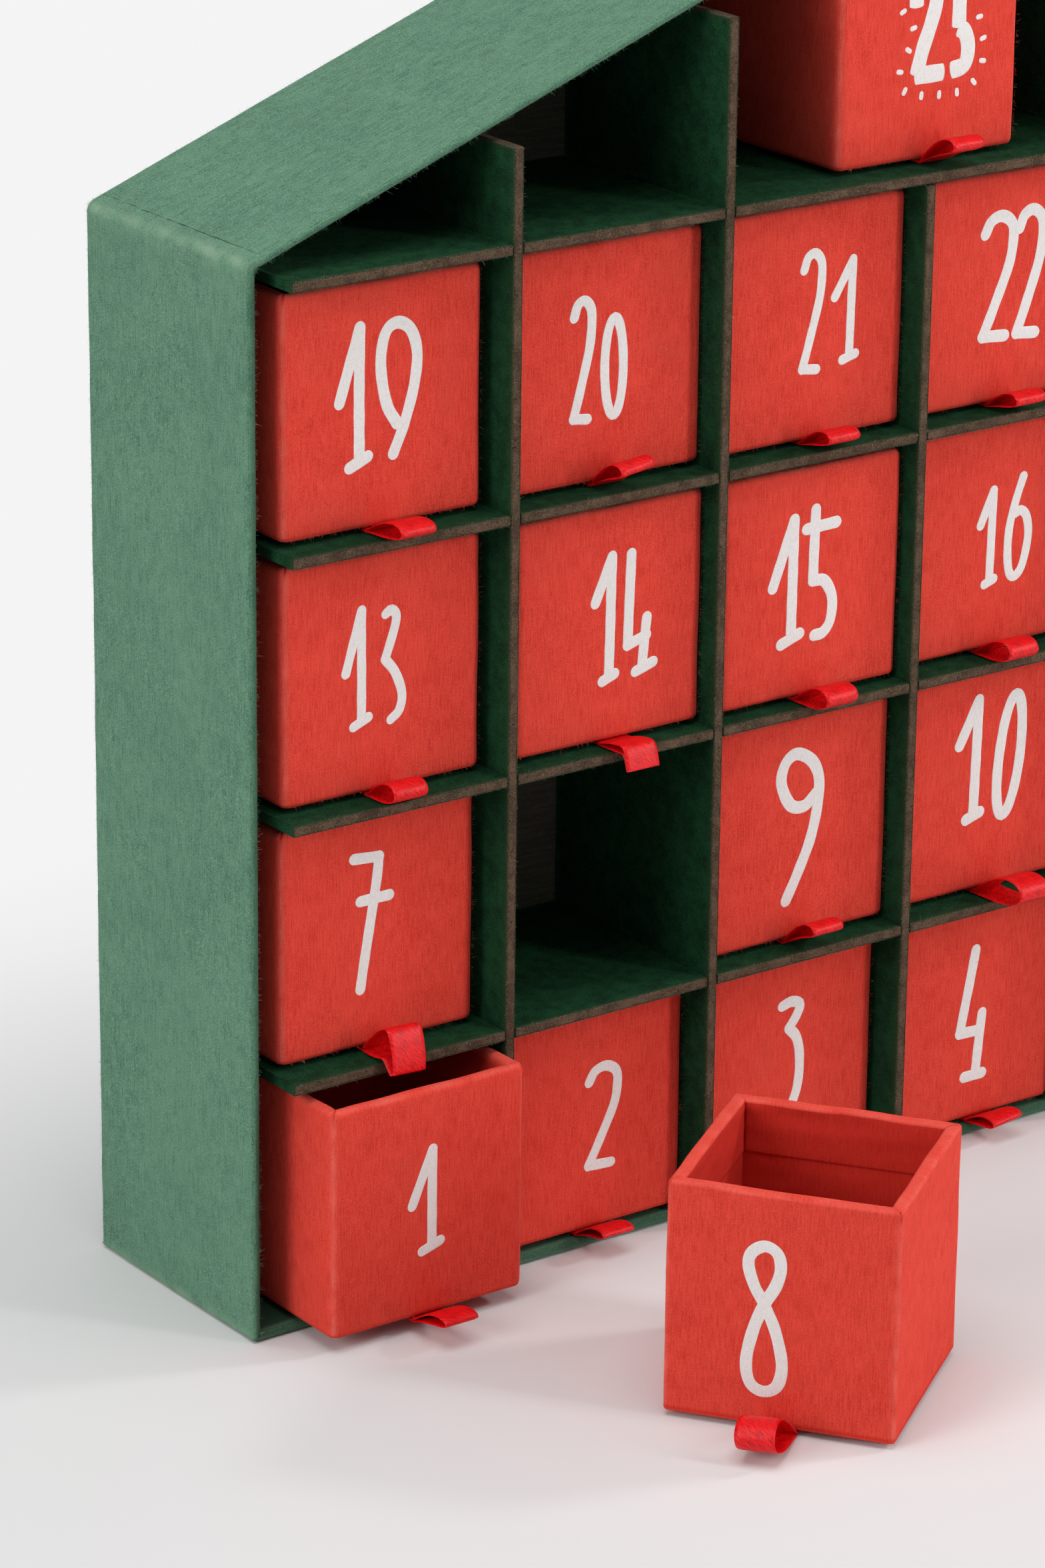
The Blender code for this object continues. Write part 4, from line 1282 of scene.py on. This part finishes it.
def makePull(number):
    # A strip carried along the loop, u going once round: out = (1 - cos u) / 2, across = opening
    # * 0.65 * sin u * sin(u / 2), height = rise * (1 - (1 - out)^2) - drop * past^2 + across.
    look = ribbonBuild
    reach, opening, rise, drop = (v * mm for v in loopForms[formOf[number]])
    reach *= look["reaches"].get(number, 1)
    opening *= look["openings"].get(number, 1)
    thick, half = look["thickness"], look["width"] / 2
    toWorld, shift = drawerFrame(number), 0
    if number != drawerBuild["looseDrawer"]:       # a pull may sit beside its drawer's middle
        (low, high), (drawerLow, drawerHigh) = (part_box(kind + "_%02d" % number)
                                                for kind in ("ribbon_pull", "drawer"))
        shift = (low[0] + high[0] - drawerLow[0] - drawerHigh[0]) / 2
    turn = np.linspace(0, 2 * math.pi, 57)[1:-1]
    out = (1 - np.cos(turn)) / 2
    across = opening * 0.65 * np.sin(turn) * np.sin(turn / 2)
    past = np.maximum(0, (reach * out - look["ledge"]) / (reach - look["ledge"]))
    y = -reach * out
    z = rise * (1 - (1 - out) ** 2) - drop * past ** 2 + across
    tailY = np.linspace(look["tail"], 0, 7)
    path = np.concatenate([np.stack([tailY, np.full(7, 0.5 * thick)], 1), np.stack([y, z], 1),
                           np.stack([tailY[::-1], np.full(7, -0.5 * thick)], 1)])
    ahead = unit(np.gradient(path, axis=0))
    normal = np.stack([-ahead[:, 1], ahead[:, 0]], 1)
    inLoop = np.r_[np.zeros(7), np.ones(len(y)), np.zeros(7)]
    path = path + normal * (-thick / 2 * inLoop)[:, None]
    t = np.linspace(0, 1, len(path))
    outward = np.clip(-path[:, 0] / reach, 0, 1)
    lean = look["leans"].get(number, 0) * mm * outward * (t - 0.5) * 2
    tilt = look["tilts"].get(number, 0) * outward
    v = np.linspace(-1, 1, 11)
    body = np.stack([v * half, np.full(11, 0.5)], 1)
    section = np.concatenate([body, body[::-1] * np.array([1, -1])])
    pinch = 1 - 0.6 * (np.abs(section[:, 0] / half) > 0.99)
    edgeWave = 0.04 * mm * ripple(np.stack([t * 0.04, t * 0, t * 0 + number], 1), 6 * mm, 88)
    x = section[None, :, 0] * (1 + edgeWave[:, None] / half) + shift + lean[:, None]
    lift = section[None, :, 1] * thick * pinch[None, :]
    y3 = path[:, 0, None] + normal[:, 0, None] * lift
    z3 = path[:, 1, None] + normal[:, 1, None] * lift + section[None, :, 0] * tilt[:, None]
    grid = np.stack([x, y3, z3 - look["below"]], -1)
    uv = np.stack(np.broadcast_arrays(pathLength(path)[:, None], section[None, :, 0]), -1)
    piece = Piece("ribbon_loop_%02d" % number)
    piece.tube(grid, satinFinish, uv, toWorld)
    return piece.build("drawer_%02d_and_pull" % number, ["ribbon_pull_%02d" % number])


for pullNumber in range(1, 26):
    makePull(pullNumber)
print("ribbons")

# Floor and background


def makeStage(look):
    # A pale floor that fades, for the camera alone, to the plain background behind and far around.
    f = Finish("pale_floor")
    x, y = f.axes()[:2]
    behind = f.between(y, *look["fadeBehind"])
    around = f.between(f.maths("SQRT", x * x + y * y), *look["fadeRound"])
    fade = behind.maths("MAXIMUM", around)
    lit = f.node("BsdfDiffuse", None, {"Color": look["floorColour"]})
    clear = f.node("Emission", None, {"Color": look["backgroundColour"], "Strength": 1.0})
    seen = f.node("LightPath", out="Is Camera Ray")
    blend = f.node("MixShader", None, {0: fade * seen, 1: lit, 2: clear})
    f.node("OutputMaterial", None, {"Surface": blend})
    size = look["floorSize"]
    mesh = bpy.data.meshes.new("floor")
    corners = [(-size, -size, 0), (size, -size, 0), (size, size, 0), (-size, size, 0)]
    mesh.from_pydata(corners, [], [(0, 1, 2, 3)])
    mesh.materials.append(f.material)
    floor = bpy.data.objects.new("floor", mesh)
    bpy.context.scene.collection.objects.link(floor)
    # the world lights softly, and the camera sees it plain
    w = Finish("studio", bpy.data.worlds.new("studio"))
    bpy.context.scene.world = w.material
    soft = w.node("Background", None,
                  {"Color": look["worldColour"], "Strength": look["worldStrength"]})
    plain = w.node("Background", None, {"Color": look["backgroundColour"]})
    seen = w.node("LightPath", out="Is Camera Ray")
    chosen = w.node("MixShader", None, {0: seen, 1: soft, 2: plain})
    w.node("OutputWorld", None, {"Surface": chosen})


makeStage(stageLook)
print("stage")

bpy.context.view_layer.update()
